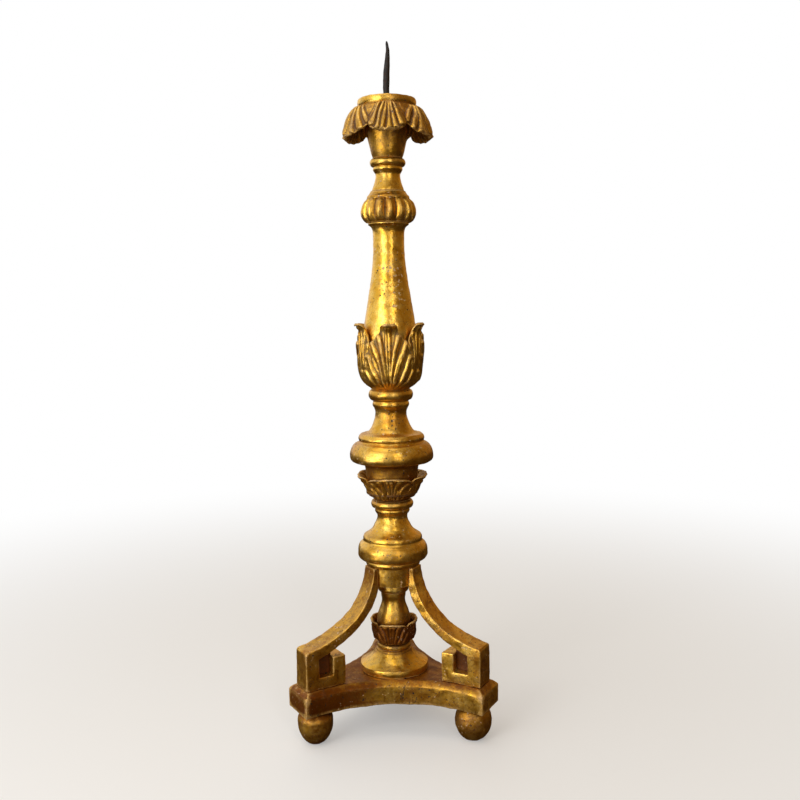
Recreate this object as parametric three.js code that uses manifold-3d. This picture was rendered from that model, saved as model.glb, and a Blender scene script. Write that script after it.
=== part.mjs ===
// A giltwood torchere, the tall candle stand that stands on the floor. Turned and carved
// sections are stacked on round tenons, three scrolled bracket legs brace the column on a
// three-sided plinth with ball feet, and an iron pricket in the cup holds the candle.
// Millimetres, +Z up. The floor is z = 0 and the origin is the middle of the footprint.

import * as THREE from 'three';
import { mergeVertices } from 'three/addons/utils/BufferGeometryUtils.js';
import Module from 'manifold-3d';

const wasm = await Module();
wasm.setup();

// ---------------------------------------------------------------- fits and facets

const FIT = 0.3; // gap left between two faces that touch
const TURNED_SIDES = 24;
const FOOT_SIDES = 18;
const PIN_SIDES = 12;
const SPIKE_SIDES = 8;
const LEAVES = 6; // in each carved ring
const COLUMNS_PER_LEAF = 7;
const COLUMNS_PER_GADROON = 4;

// ---------------------------------------------------------------- feet and plinth

const LEG_COUNT = 3;
const FOOT_HEIGHT = 48;
const FOOT_RADIUS = 26.5;
const FOOT_PAD_RADIUS = 9; // worn flat underneath
const FOOT_BULGE_HEIGHT = 27;
const FOOT_NECK_RADIUS = 18;
const FOOT_SETBACK = 27; // foot axis behind the end of the corner
const FOOT_TENON_RADIUS = 9;
const FOOT_TENON_LENGTH = 20;

const PLINTH_THICKNESS = 34;
const PLINTH_BEVEL = 7; // round the upper edge
const EAR_REACH = 156; // column axis to the square end of a corner
const EAR_WIDTH = 58;
const PLINTH_FRONT_WAIST = 58; // column axis to the middle of the front side, hollowed deepest
const PLINTH_REAR_WAIST = 73; // column axis to the middle of each rear side
const SIDE_STEPS = 8;

// ---------------------------------------------------------------- bracket legs

const LEG_SETBACK = 8; // outer face of the leg behind the end of the corner
const LEG_WIDTH = 34;
const ARM_TOP_WIDTH = 27; // the arm narrows to this under the ring
const VOLUTE_HEIGHT = 54; // squared scroll at the foot of the leg
const VOLUTE_DEPTH = 60;
const VOLUTE_OUTER_POST = 20;
const VOLUTE_INNER_POST = 18;
const VOLUTE_SILL = 16;
const VOLUTE_INNER_HEIGHT = 42.5;
const VOLUTE_CORNER = 5; // rounding of the outer top corner
const VOLUTE_LINTEL = 11; // wood over the outer end of the eye
const ARM_DEPTH_FOOT = 16; // wood between the arm's two faces above the inner post
const ARM_STEPS = 12;
const LEG_TENON_DEPTH = 15;
const LEG_TENON_WIDTH = 12;
const LEG_TENON_HEIGHT = 18;
const DOWEL_RADIUS = 4;
const DOWEL_IN_LEG = 20;
const DOWEL_IN_PLINTH = 14;

// ---------------------------------------------------------------- base bell

const BELL_RADIUS = 50.5;
const BELL_EDGE = 10;
const BELL_RISE = 17.5; // hollow slope from the edge to the neck
const BELL_NECK_RADIUS = 25.5;
const BELL_NECK_HEIGHT = 3.5;
const BELL_BEAD_RADIUS = 25.4;
const BELL_BEAD_GROOVE = 21.5;
const BELL_BEAD_HEIGHT = 9.5;
const BELL_TENON_RADIUS = 12;
const BELL_TENON_LENGTH = 24;

// ---------------------------------------------------------------- lower leaf cup and stem

const LOWER_CUP_HEIGHT = 34;
const LOWER_CUP_FOOT_RADIUS = 26;
const LOWER_CUP_BODY_RADIUS = 32.5;
const LOWER_CUP_TIP_RADIUS = 37;
const LOWER_CUP_FLOOR = 7;

const STEM_HEIGHT = 68.5;
const STEM_FOOT_RADIUS = 25;
const STEM_WAIST_RADIUS = 17.4;
const STEM_WAIST_HEIGHT = 53;
const STEM_TOP_RADIUS = 18;
const STEM_TENON_RADIUS = 10;
const STEM_TENON_LENGTH = 18;

// ---------------------------------------------------------------- hub that the legs join

const COLLAR_RADIUS = 22.2;
const COLLAR_HEIGHT = 12.8;
const DRUM_RADIUS = 34.5;
const DRUM_HEIGHT = 28;
const RING_RADIUS = 40.2;
const RING_HEIGHT = 8.4;
const HUB_TENON_RADIUS = 13;
const HUB_TENON_LENGTH = 20;

// ---------------------------------------------------------------- lower knop

const LOWER_TORUS_RADIUS = 51.2;
const LOWER_TORUS_HEIGHT = 26.5;
const LOWER_TORUS_FOOT = 41.5;
const LOWER_STEP_RADIUS = 42.3;
const LOWER_STEP_HEIGHT = 10;
const LOWER_SPOOL_RADIUS = 22;
const LOWER_SPOOL_RISE = 25; // slope from the step to the waist of the spool
const LOWER_SPOOL_NECK = 7; // waist to fillet
const LOWER_FILLET_RADIUS = 25;
const LOWER_FILLET_HEIGHT = 7;
const LOWER_BEAD_RADIUS = 31;
const LOWER_BEAD_GROOVE = 26;
const LOWER_BEAD_HEIGHT = 12.8;

// ---------------------------------------------------------------- small leaf cup

const SMALL_CUP_HEIGHT = 37;
const SMALL_CUP_FOOT_RADIUS = 28.4;
const SMALL_CUP_BODY_RADIUS = 42;
const SMALL_CUP_TIP_RADIUS = 54;
const SMALL_CUP_FLOOR = 7;

// ---------------------------------------------------------------- upper knop

const NECK_FOOT_RADIUS = 31;
const NECK_RADIUS = 37; // just above the tips of the leaves
const NECK_TOP_RADIUS = 42;
const NECK_HEIGHT = 46.5; // from the floor of the small cup to the underside of the ovolo
const OVOLO_FOOT_RADIUS = 46;
const OVOLO_RADIUS = 60.6;
const OVOLO_HEIGHT = 31;
const OVOLO_BELLY = 8.5; // height of the widest line above the foot
const UPPER_STEP_RADIUS = 47.3;
const UPPER_STEP_HEIGHT = 12;
const UPPER_SPOOL_RADIUS = 22.7;
const UPPER_SPOOL_RISE = 28;
const UPPER_SPOOL_NECK = 12;
const UPPER_FILLET_RADIUS = 26;
const UPPER_FILLET_HEIGHT = 10.5;
const UPPER_BEAD_RADIUS = 32;
const UPPER_BEAD_GROOVE = 26;
const UPPER_BEAD_HEIGHT = 14;
const NECK_TENON_RADIUS = 13;
const NECK_TENON_LENGTH = 20;

// ---------------------------------------------------------------- main leaf cup and shaft

const MAIN_CUP_HEIGHT = 95;
const MAIN_CUP_FOOT_RADIUS = 28;
const MAIN_CUP_BODY_RADIUS = 49;
const MAIN_CUP_TIP_RADIUS = 56.5;
const MAIN_CUP_FLOOR = 10;

const SHAFT_LENGTH = 226.5;
const SHAFT_FOOT_RADIUS = 31;
const SHAFT_BELLY_RADIUS = 38; // just below the tips of the leaves
const SHAFT_BELLY_HEIGHT = 73;
const SHAFT_NECK_RADIUS = 22.2;
const SHAFT_NECK_HEIGHT = 192;
const SHAFT_TOP_RADIUS = 29;
const SHAFT_TOP_HEIGHT = 3;
const SHAFT_TENON_RADIUS = 13;
const SHAFT_TENON_LENGTH = 22;

// ---------------------------------------------------------------- gadrooned knop and neck

const GADROONS = 14;
const GADROON_HEIGHT = 33.5;
const GADROON_FOOT_RADIUS = 30;
const GADROON_RADIUS = 39.8;
const GADROON_GROOVE = 4;
const SHOULDER_RADIUS = 28.8;
const SHOULDER_TOP_RADIUS = 24;
const SHOULDER_HEIGHT = 10.5;

const UPPER_NECK_FOOT_RADIUS = 23;
const UPPER_NECK_WAIST_RADIUS = 17.5;
const UPPER_NECK_WAIST_HEIGHT = 22;
const UPPER_NECK_TOP_RADIUS = 20.6;
const UPPER_NECK_HEIGHT = 33;
const TOP_BEAD_RADIUS = 25;
const TOP_BEAD_GROOVE = 20;
const TOP_BEAD_HEIGHT = 12;
const UPPER_NECK_TENON_RADIUS = 10;
const UPPER_NECK_TENON_LENGTH = 22;

// ---------------------------------------------------------------- cup, crown and pricket

const CONE_HEIGHT = 70;
const CONE_FOOT_RADIUS = 21;
const CONE_BODY_RADIUS = 29;
const CONE_BODY_HEIGHT = 34;
const CONE_SHOULDER_RADIUS = 34.5; // ledge that the crown rests on
const CONE_TOP_RADIUS = 30;
const CONE_TENON_RADIUS = 9;
const CONE_TENON_LENGTH = 20;

const CROWN_ROOT_RADIUS = 40;
const CROWN_BULGE_RADIUS = 62.5;
const CROWN_TIP_RADIUS = 66;
const CROWN_DROP = 43; // root to leaf tip
const CROWN_COLLAR_HEIGHT = 13; // where the ring grips the cone
const CROWN_THICKNESS = 5.5;

const RIM_RADIUS = 41.6;
const RIM_HEIGHT = 12;
const RIM_LIP = 5; // width of the raised edge round the candle seat
const SEAT_DEPTH = 2.5;

const SPIKE_LENGTH = 82; // above the candle seat
const SPIKE_RADIUS = 4.2;
const SPIKE_TIP_RADIUS = 1.2;
const SPIKE_BEND = 3;
const SPIKE_STATIONS = 6; // between the seat and the tip
const TANG_LENGTH = 40;

const LEAF_THICKNESS = 4;
const LEAF_RELIEF = 1.1; // height of the ribs on a leaf
const LEAF_VALLEY = 3.2; // how far the edges of a leaf lie behind its midrib
const BROAD_LEAF = 0.7; // half width of a broad leaf, as a share of the pitch
// Where the front leaf of each ring points, turned from the front of the plinth.
const CROWN_TURN = THREE.MathUtils.degToRad(-1);
const MAIN_CUP_TURN = THREE.MathUtils.degToRad(-3);
const LOW_CUP_TURN = THREE.MathUtils.degToRad(-5);

// ---------------------------------------------------------------- heights, from the floor up

const plinthBottom = FOOT_HEIGHT + FIT;
const plinthTop = plinthBottom + PLINTH_THICKNESS;
const bellBottom = plinthTop + FIT;
const bellTop = bellBottom + BELL_EDGE + BELL_RISE + BELL_NECK_HEIGHT + BELL_BEAD_HEIGHT;
const lowerCupBottom = bellTop + FIT;
const stemBottom = lowerCupBottom + LOWER_CUP_FLOOR + FIT;
const stemTop = stemBottom + STEM_HEIGHT;
const hubBottom = stemTop + FIT;
const drumBottom = hubBottom + COLLAR_HEIGHT;
const ringBottom = drumBottom + DRUM_HEIGHT;
const hubTop = ringBottom + RING_HEIGHT;
const lowerKnopBottom = hubTop + FIT;
const lowerStepBottom = lowerKnopBottom + LOWER_TORUS_HEIGHT;
const lowerSpoolBottom = lowerStepBottom + LOWER_STEP_HEIGHT;
const lowerWaist = lowerSpoolBottom + LOWER_SPOOL_RISE;
const lowerFilletBottom = lowerWaist + LOWER_SPOOL_NECK;
const lowerBeadBottom = lowerFilletBottom + LOWER_FILLET_HEIGHT;
const lowerKnopTop = lowerBeadBottom + LOWER_BEAD_HEIGHT;
const smallCupBottom = lowerKnopTop + FIT;
const neckBottom = smallCupBottom + SMALL_CUP_FLOOR + FIT;
const ovoloBottom = neckBottom + NECK_HEIGHT;
const upperStepBottom = ovoloBottom + OVOLO_HEIGHT;
const upperSpoolBottom = upperStepBottom + UPPER_STEP_HEIGHT;
const upperWaist = upperSpoolBottom + UPPER_SPOOL_RISE;
const upperFilletBottom = upperWaist + UPPER_SPOOL_NECK;
const upperBeadBottom = upperFilletBottom + UPPER_FILLET_HEIGHT;
const upperKnopTop = upperBeadBottom + UPPER_BEAD_HEIGHT;
const mainCupBottom = upperKnopTop + FIT;
const shaftBottom = mainCupBottom + MAIN_CUP_FLOOR + FIT;
const shaftTop = shaftBottom + SHAFT_LENGTH;
const gadroonBottom = shaftTop + FIT;
const gadroonTop = gadroonBottom + GADROON_HEIGHT;
const shoulderTop = gadroonTop + SHOULDER_HEIGHT;
const upperNeckBottom = shoulderTop + FIT;
const topBeadBottom = upperNeckBottom + UPPER_NECK_HEIGHT;
const upperNeckTop = topBeadBottom + TOP_BEAD_HEIGHT;
const coneBottom = upperNeckTop + FIT;
const coneTop = coneBottom + CONE_HEIGHT;
const rimBottom = coneTop + FIT;
const rimTop = rimBottom + RIM_HEIGHT;
const seatHeight = rimTop - SEAT_DEPTH;

// ---------------------------------------------------------------- profile helpers
// A profile is a list of [radius, height] pairs.

/** Points along a curve that leaves `from` towards `control` and arrives at `to`. */
function bend(from, control, to, steps) {
  const curve = new THREE.QuadraticBezierCurve(
    new THREE.Vector2(...from), new THREE.Vector2(...control), new THREE.Vector2(...to));
  return curve.getPoints(steps).map((point) => [point.x, point.y]);
}

/** A half-round moulding that swells from `inner` to `outer` between two heights. */
function bead(inner, outer, bottom, top, steps = 3) {
  const points = [];
  for (let step = 0; step <= steps; step += 1) {
    const angle = Math.PI * (step / steps - 0.5);
    const radius = inner + (outer - inner) * Math.cos(angle);
    const height = (bottom + top) / 2 + ((top - bottom) / 2) * Math.sin(angle);
    points.push([radius, height]);
  }
  return points;
}

/** The start of a profile with a round tenon standing out below `height`. */
function tenonBelow(radius, length, height) {
  return [[0, height - length], [radius, height - length], [radius, height]];
}

/** The end of a profile with a round tenon standing up from `height`. */
function tenonAbove(radius, length, height) {
  return [[radius, height], [radius, height + length], [0, height + length]];
}

/** The start of a profile with a socket for a tenon that comes up from below. */
function socketBelow(radius, length, height) {
  return [[0, height + length + FIT], [radius + FIT, height + length + FIT], [radius + FIT, height]];
}

/** The end of a profile with a socket for a tenon that comes down from above. */
function socketAbove(radius, length, height) {
  return [[radius + FIT, height], [radius + FIT, height - length - FIT], [0, height - length - FIT]];
}

/** Drops the points of a profile that repeat the one before. */
function withoutRepeats(profile) {
  return profile.filter(([radius, height], index) => {
    const [lastRadius, lastHeight] = profile[index - 1] ?? [Infinity, Infinity];
    return Math.hypot(radius - lastRadius, height - lastHeight) > 0.01;
  });
}

// ---------------------------------------------------------------- solid helpers

/** Keeps only positions, merges shared corners and drops the empty facets at the poles. */
function plainSolid(geometry) {
  geometry.deleteAttribute('normal');
  geometry.deleteAttribute('uv');
  const merged = mergeVertices(geometry, 1e-4);
  const corners = [];
  for (let i = 0; i < merged.index.count; i += 3) {
    const [a, b, c] = [0, 1, 2].map((offset) => merged.index.getX(i + offset));
    if (a !== b && b !== c && c !== a) corners.push(a, b, c);
  }
  merged.setIndex(corners);
  return merged;
}

/** Revolves a profile, listed from the bottom up, round the vertical axis. */
function turned(profile, sides = TURNED_SIDES) {
  const points = withoutRepeats(profile).map(([radius, height]) => new THREE.Vector2(radius, height));
  const geometry = new THREE.LatheGeometry(points, sides);
  geometry.rotateX(Math.PI / 2);
  return plainSolid(geometry);
}

/** A round pin on the vertical line through (x, 0). */
function pin(radius, bottom, top, x = 0, sides = PIN_SIDES) {
  const geometry = turned([[0, bottom], [radius, bottom], [radius, top], [0, top]], sides);
  return geometry.translate(x, 0, 0);
}

/** Twice the signed area of a closed list of [radius, height] pairs. */
function signedArea(section) {
  return section.reduce((sum, [radius, height], index) => {
    const [nextRadius, nextHeight] = section[(index + 1) % section.length];
    return sum + radius * nextHeight - nextRadius * height;
  }, 0);
}

/** A closed ring whose section may differ at each angle: `sectionAt(angle)` lists its corners. */
function carvedRing(sectionAt, columns) {
  const positions = [];
  const corners = [];
  let count = 0;
  for (let column = 0; column < columns; column += 1) {
    const angle = (column / columns) * 2 * Math.PI;
    let section = sectionAt(angle);
    if (signedArea(section) < 0) section = section.reverse();
    count = section.length;
    for (const [radius, height] of section) {
      positions.push(radius * Math.cos(angle), radius * Math.sin(angle), height);
    }
  }
  for (let column = 0; column < columns; column += 1) {
    const next = (column + 1) % columns;
    for (let row = 0; row < count; row += 1) {
      const above = (row + 1) % count;
      const [a, b] = [column * count + row, next * count + row];
      const [c, d] = [next * count + above, column * count + above];
      corners.push(a, b, c, a, c, d);
    }
  }
  const geometry = new THREE.BufferGeometry();
  geometry.setAttribute('position', new THREE.Float32BufferAttribute(positions, 3));
  geometry.setIndex(corners);
  return geometry;
}

/** Joins equal outlines at rising heights into a closed solid. */
function loft(outlines, heights) {
  const count = outlines[0].length;
  const positions = [];
  const corners = [];
  outlines.forEach((outline, level) => {
    for (const point of outline) positions.push(point.x, point.y, heights[level]);
  });
  for (let level = 0; level < outlines.length - 1; level += 1) {
    for (let i = 0; i < count; i += 1) {
      const next = (i + 1) % count;
      const [a, b] = [level * count + i, level * count + next];
      corners.push(a, b, b + count, a, b + count, a + count);
    }
  }
  const last = (outlines.length - 1) * count;
  for (const [a, b, c] of THREE.ShapeUtils.triangulateShape(outlines[0], [])) {
    corners.push(c, b, a, last + a, last + b, last + c);
  }
  const geometry = new THREE.BufferGeometry();
  geometry.setAttribute('position', new THREE.Float32BufferAttribute(positions, 3));
  geometry.setIndex(corners);
  return geometry;
}

function toManifold(geometry) {
  const plain = plainSolid(geometry.clone());
  return new wasm.Manifold(new wasm.Mesh({
    numProp: 3,
    vertProperties: new Float32Array(plain.attributes.position.array),
    triVerts: new Uint32Array(plain.index.array),
  }));
}

function fromManifold(solid) {
  const mesh = solid.getMesh();
  const geometry = new THREE.BufferGeometry();
  geometry.setAttribute('position', new THREE.BufferAttribute(mesh.vertProperties, 3));
  geometry.setIndex(new THREE.BufferAttribute(mesh.triVerts, 1));
  return geometry;
}

/** Cuts every tool out of a body. */
function cut(body, tools) {
  return fromManifold(tools.reduce((solid, tool) => solid.subtract(toManifold(tool)), toManifold(body)));
}

// ---------------------------------------------------------------- feet, plinth and dowels

const footPlace = EAR_REACH - FOOT_SETBACK;

function legAngle(index) {
  return Math.PI / 2 + (index * 2 * Math.PI) / LEG_COUNT;
}

function footGeometry() {
  return turned([
    [0, 0],
    ...bend([FOOT_PAD_RADIUS, 0], [FOOT_RADIUS, 0], [FOOT_RADIUS, FOOT_BULGE_HEIGHT], 4),
    ...bend([FOOT_RADIUS, FOOT_BULGE_HEIGHT], [FOOT_RADIUS, FOOT_HEIGHT - 3],
      [FOOT_NECK_RADIUS, FOOT_HEIGHT], 3),
    ...tenonAbove(FOOT_TENON_RADIUS, FOOT_TENON_LENGTH, FOOT_HEIGHT),
  ], FOOT_SIDES);
}

/** The plinth's outline drawn in by `inset`: three square ears joined by hollow arcs. */
function plinthOutline(inset) {
  const reach = EAR_REACH - inset;
  const halfWidth = EAR_WIDTH / 2 - inset;
  const step = Math.PI / LEG_COUNT;
  const along = reach * Math.cos(step) + halfWidth * Math.sin(step);
  const across = reach * Math.sin(step) - halfWidth * Math.cos(step);
  const points = [];
  for (let side = 0; side < LEG_COUNT; side += 1) {
    const facing = legAngle(side) + step;
    const isFront = Math.sin(facing) < -0.5;
    const waist = (isFront ? PLINTH_FRONT_WAIST : PLINTH_REAR_WAIST) - inset;
    const sag = along - waist;
    const radius = (across * across + sag * sag) / (2 * sag);
    const halfAngle = Math.asin(across / radius);
    for (let k = 0; k <= SIDE_STEPS; k += 1) {
      const angle = halfAngle * (1 - (2 * k) / SIDE_STEPS);
      const out = waist + radius - radius * Math.cos(angle);
      const sideways = -radius * Math.sin(angle);
      points.push(new THREE.Vector2(
        out * Math.cos(facing) - sideways * Math.sin(facing),
        out * Math.sin(facing) + sideways * Math.cos(facing)));
    }
  }
  return points;
}

function plinthGeometry() {
  const edge = plinthOutline(0);
  const board = loft([edge, edge, plinthOutline(PLINTH_BEVEL)],
    [plinthBottom, plinthTop - PLINTH_BEVEL, plinthTop]);
  const bellSocket = plinthTop - BELL_TENON_LENGTH - FIT;
  const tools = [pin(BELL_TENON_RADIUS + FIT, bellSocket, plinthTop + FIT, 0, TURNED_SIDES)];
  for (let index = 0; index < LEG_COUNT; index += 1) {
    const socketTop = plinthBottom + FOOT_TENON_LENGTH + FIT;
    tools.push(pin(FOOT_TENON_RADIUS + FIT, plinthBottom - FIT, socketTop, footPlace, FOOT_SIDES)
      .rotateZ(legAngle(index)));
    tools.push(pin(DOWEL_RADIUS + FIT, plinthTop - DOWEL_IN_PLINTH - FIT, plinthTop + FIT, dowelPlace)
      .rotateZ(legAngle(index)));
  }
  return cut(board, tools);
}

const legBottom = plinthTop + FIT;
const legOuter = EAR_REACH - LEG_SETBACK;
const legInner = legOuter - VOLUTE_DEPTH;
const dowelPlace = legInner + VOLUTE_INNER_POST / 2;

function dowelGeometry() {
  return pin(DOWEL_RADIUS, plinthTop - DOWEL_IN_PLINTH, legBottom + DOWEL_IN_LEG, dowelPlace);
}

// ---------------------------------------------------------------- bracket legs

const legTenonBottom = drumBottom + (DRUM_HEIGHT - LEG_TENON_HEIGHT) / 2;

/** A curve of the arm between two [radius, height] points, by how it leaves and arrives. */
function armCurve(from, leave, arrive, to) {
  const curve = new THREE.CubicBezierCurve(
    new THREE.Vector2(...from), new THREE.Vector2(...leave),
    new THREE.Vector2(...arrive), new THREE.Vector2(...to));
  return curve.getPoints(ARM_STEPS);
}

/** Side view of a leg: distance from the column axis across, height up. */
function legOutline() {
  const headTop = ringBottom - FIT;
  const headBottom = drumBottom - 1.5;
  const headOuter = RING_RADIUS - 0.7;
  const shoulder = legBottom + VOLUTE_HEIGHT;
  const eyeInner = legInner + VOLUTE_INNER_POST;
  const eyeOuter = legOuter - VOLUTE_OUTER_POST;
  const postTop = legBottom + VOLUTE_INNER_HEIGHT;
  const drop = headTop - shoulder;
  const reach = legOuter - headOuter;
  const upper = armCurve(
    [headOuter, headTop],
    [headOuter + reach * 0.05, headTop - drop * 0.5],
    [headOuter + reach * 0.38, shoulder + drop * 0.125],
    [legOuter - VOLUTE_CORNER, shoulder]);
  const under = armCurve(
    [DRUM_RADIUS - 1, headBottom],
    [DRUM_RADIUS + reach * 0.09, headBottom - drop * 0.36],
    [eyeInner - reach * 0.22, postTop + ARM_DEPTH_FOOT],
    [eyeOuter, shoulder - VOLUTE_LINTEL]);
  const shape = new THREE.Shape();
  shape.moveTo(legInner, legBottom);
  shape.lineTo(legOuter, legBottom);
  shape.lineTo(legOuter, shoulder - VOLUTE_CORNER);
  shape.quadraticCurveTo(legOuter, shoulder, legOuter - VOLUTE_CORNER, shoulder);
  for (const point of upper.reverse().slice(1)) shape.lineTo(point.x, point.y);
  shape.lineTo(DRUM_RADIUS - 1, headTop);
  for (const point of under) shape.lineTo(point.x, point.y);
  shape.lineTo(eyeOuter, legBottom + VOLUTE_SILL);
  shape.lineTo(eyeInner, legBottom + VOLUTE_SILL);
  shape.lineTo(eyeInner, postTop);
  shape.lineTo(legInner, postTop);
  shape.closePath();
  return shape;
}

/** The tenon that joins a leg to the drum, grown by `clearance` for its mortise. */
function legTenon(clearance) {
  const inner = DRUM_RADIUS - LEG_TENON_DEPTH - clearance;
  const outer = DRUM_RADIUS + (RING_RADIUS - DRUM_RADIUS) / 2;
  const box = new THREE.BoxGeometry(
    outer - inner, LEG_TENON_WIDTH + 2 * clearance, LEG_TENON_HEIGHT + 2 * clearance);
  return box.translate((inner + outer) / 2, 0, legTenonBottom + LEG_TENON_HEIGHT / 2);
}

/** Narrows a leg's arm from its full width at the shoulder to its head under the ring. */
function narrowArm(board) {
  const shoulder = legBottom + VOLUTE_HEIGHT;
  const position = board.attributes.position;
  for (let i = 0; i < position.count; i += 1) {
    const rise = Math.max(0, position.getZ(i) - shoulder) / (ringBottom - FIT - shoulder);
    position.setY(i, position.getY(i) * THREE.MathUtils.lerp(1, ARM_TOP_WIDTH / LEG_WIDTH, rise));
  }
}

function legGeometry() {
  const board = new THREE.ExtrudeGeometry(legOutline(), {
    depth: LEG_WIDTH, bevelEnabled: false, curveSegments: 3,
  });
  board.translate(0, 0, -LEG_WIDTH / 2).rotateX(Math.PI / 2);
  narrowArm(board);
  const drum = pin(DRUM_RADIUS + FIT, drumBottom - DRUM_HEIGHT, ringBottom + FIT, 0, TURNED_SIDES);
  const dowel = pin(DOWEL_RADIUS + FIT, legBottom - FIT, legBottom + DOWEL_IN_LEG + FIT, dowelPlace);
  const body = toManifold(board).subtract(toManifold(drum)).subtract(toManifold(dowel));
  return fromManifold(body.add(toManifold(legTenon(0))));
}

// ---------------------------------------------------------------- turned sections of the column

function bellGeometry() {
  const edgeTop = bellBottom + BELL_EDGE;
  const neckBottomHeight = edgeTop + BELL_RISE;
  const beadBottom = neckBottomHeight + BELL_NECK_HEIGHT;
  return turned([
    ...tenonBelow(BELL_TENON_RADIUS, BELL_TENON_LENGTH, bellBottom),
    [BELL_RADIUS, bellBottom],
    [BELL_RADIUS, edgeTop],
    ...bend([BELL_RADIUS - 2, edgeTop + 1], [BELL_NECK_RADIUS + 7, edgeTop + BELL_RISE * 0.4],
      [BELL_NECK_RADIUS + 2, neckBottomHeight], 4),
    [BELL_NECK_RADIUS, neckBottomHeight],
    [BELL_NECK_RADIUS, beadBottom],
    ...bead(BELL_BEAD_GROOVE, BELL_BEAD_RADIUS, beadBottom, bellTop),
    ...socketAbove(STEM_TENON_RADIUS, STEM_TENON_LENGTH, bellTop),
  ]);
}

function stemGeometry() {
  return turned([
    ...tenonBelow(STEM_TENON_RADIUS, STEM_TENON_LENGTH + LOWER_CUP_FLOOR + 2 * FIT, stemBottom),
    [STEM_FOOT_RADIUS, stemBottom],
    ...bend([STEM_FOOT_RADIUS, stemBottom + STEM_WAIST_HEIGHT * 0.35],
      [STEM_WAIST_RADIUS + 3, stemBottom + STEM_WAIST_HEIGHT * 0.75],
      [STEM_WAIST_RADIUS, stemBottom + STEM_WAIST_HEIGHT], 4),
    [STEM_TOP_RADIUS, stemTop],
    ...tenonAbove(STEM_TENON_RADIUS, STEM_TENON_LENGTH, stemTop),
  ]);
}

function hubGeometry() {
  const body = turned([
    ...socketBelow(STEM_TENON_RADIUS, STEM_TENON_LENGTH, hubBottom),
    [COLLAR_RADIUS - 2, hubBottom],
    [COLLAR_RADIUS, hubBottom + 3],
    [COLLAR_RADIUS, drumBottom],
    [DRUM_RADIUS, drumBottom],
    [DRUM_RADIUS, ringBottom],
    [RING_RADIUS, ringBottom],
    [RING_RADIUS, hubTop - 2],
    [RING_RADIUS - 1.5, hubTop],
    ...tenonAbove(HUB_TENON_RADIUS, HUB_TENON_LENGTH, hubTop),
  ]);
  const mortises = [];
  for (let index = 0; index < LEG_COUNT; index += 1) {
    mortises.push(legTenon(FIT).rotateZ(legAngle(index)));
  }
  return cut(body, mortises);
}

function lowerKnopGeometry() {
  return turned([
    ...socketBelow(HUB_TENON_RADIUS, HUB_TENON_LENGTH, lowerKnopBottom),
    ...bead(LOWER_TORUS_FOOT, LOWER_TORUS_RADIUS, lowerKnopBottom, lowerStepBottom, 5),
    [LOWER_STEP_RADIUS, lowerStepBottom],
    [LOWER_STEP_RADIUS, lowerSpoolBottom - 2],
    [LOWER_STEP_RADIUS - 2, lowerSpoolBottom],
    ...bend([LOWER_STEP_RADIUS - 3, lowerSpoolBottom], [LOWER_SPOOL_RADIUS + 0.5, lowerSpoolBottom + 8],
      [LOWER_SPOOL_RADIUS, lowerWaist], 4),
    [LOWER_SPOOL_RADIUS + 1.5, lowerFilletBottom - 1],
    [LOWER_FILLET_RADIUS, lowerFilletBottom],
    [LOWER_FILLET_RADIUS, lowerBeadBottom - 1],
    ...bead(LOWER_BEAD_GROOVE, LOWER_BEAD_RADIUS, lowerBeadBottom, lowerKnopTop),
    ...socketAbove(NECK_TENON_RADIUS, NECK_TENON_LENGTH, lowerKnopTop),
  ]);
}

function upperKnopGeometry() {
  const tips = smallCupBottom + SMALL_CUP_HEIGHT;
  const belly = ovoloBottom + OVOLO_BELLY;
  return turned([
    ...tenonBelow(NECK_TENON_RADIUS, NECK_TENON_LENGTH + SMALL_CUP_FLOOR + 2 * FIT, neckBottom),
    [NECK_FOOT_RADIUS, neckBottom],
    ...bend([NECK_RADIUS, tips], [NECK_RADIUS + 0.5, ovoloBottom - 5], [NECK_TOP_RADIUS, ovoloBottom], 3),
    [OVOLO_FOOT_RADIUS, ovoloBottom],
    ...bend([OVOLO_FOOT_RADIUS + 4, ovoloBottom + 0.5], [OVOLO_RADIUS, ovoloBottom + 1.5],
      [OVOLO_RADIUS, belly], 2),
    ...bend([OVOLO_RADIUS, belly], [OVOLO_RADIUS, upperStepBottom - 3],
      [UPPER_STEP_RADIUS + 1, upperStepBottom], 4),
    [UPPER_STEP_RADIUS, upperStepBottom],
    [UPPER_STEP_RADIUS, upperSpoolBottom - 3],
    [UPPER_STEP_RADIUS - 3, upperSpoolBottom],
    ...bend([UPPER_STEP_RADIUS - 4, upperSpoolBottom], [UPPER_SPOOL_RADIUS + 1, upperSpoolBottom + 8],
      [UPPER_SPOOL_RADIUS, upperWaist], 4),
    [UPPER_FILLET_RADIUS - 1, upperFilletBottom - 1],
    [UPPER_FILLET_RADIUS, upperFilletBottom],
    [UPPER_FILLET_RADIUS, upperBeadBottom - 1],
    ...bead(UPPER_BEAD_GROOVE, UPPER_BEAD_RADIUS, upperBeadBottom, upperKnopTop),
    ...socketAbove(SHAFT_TENON_RADIUS, SHAFT_TENON_LENGTH, upperKnopTop),
  ]);
}

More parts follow.
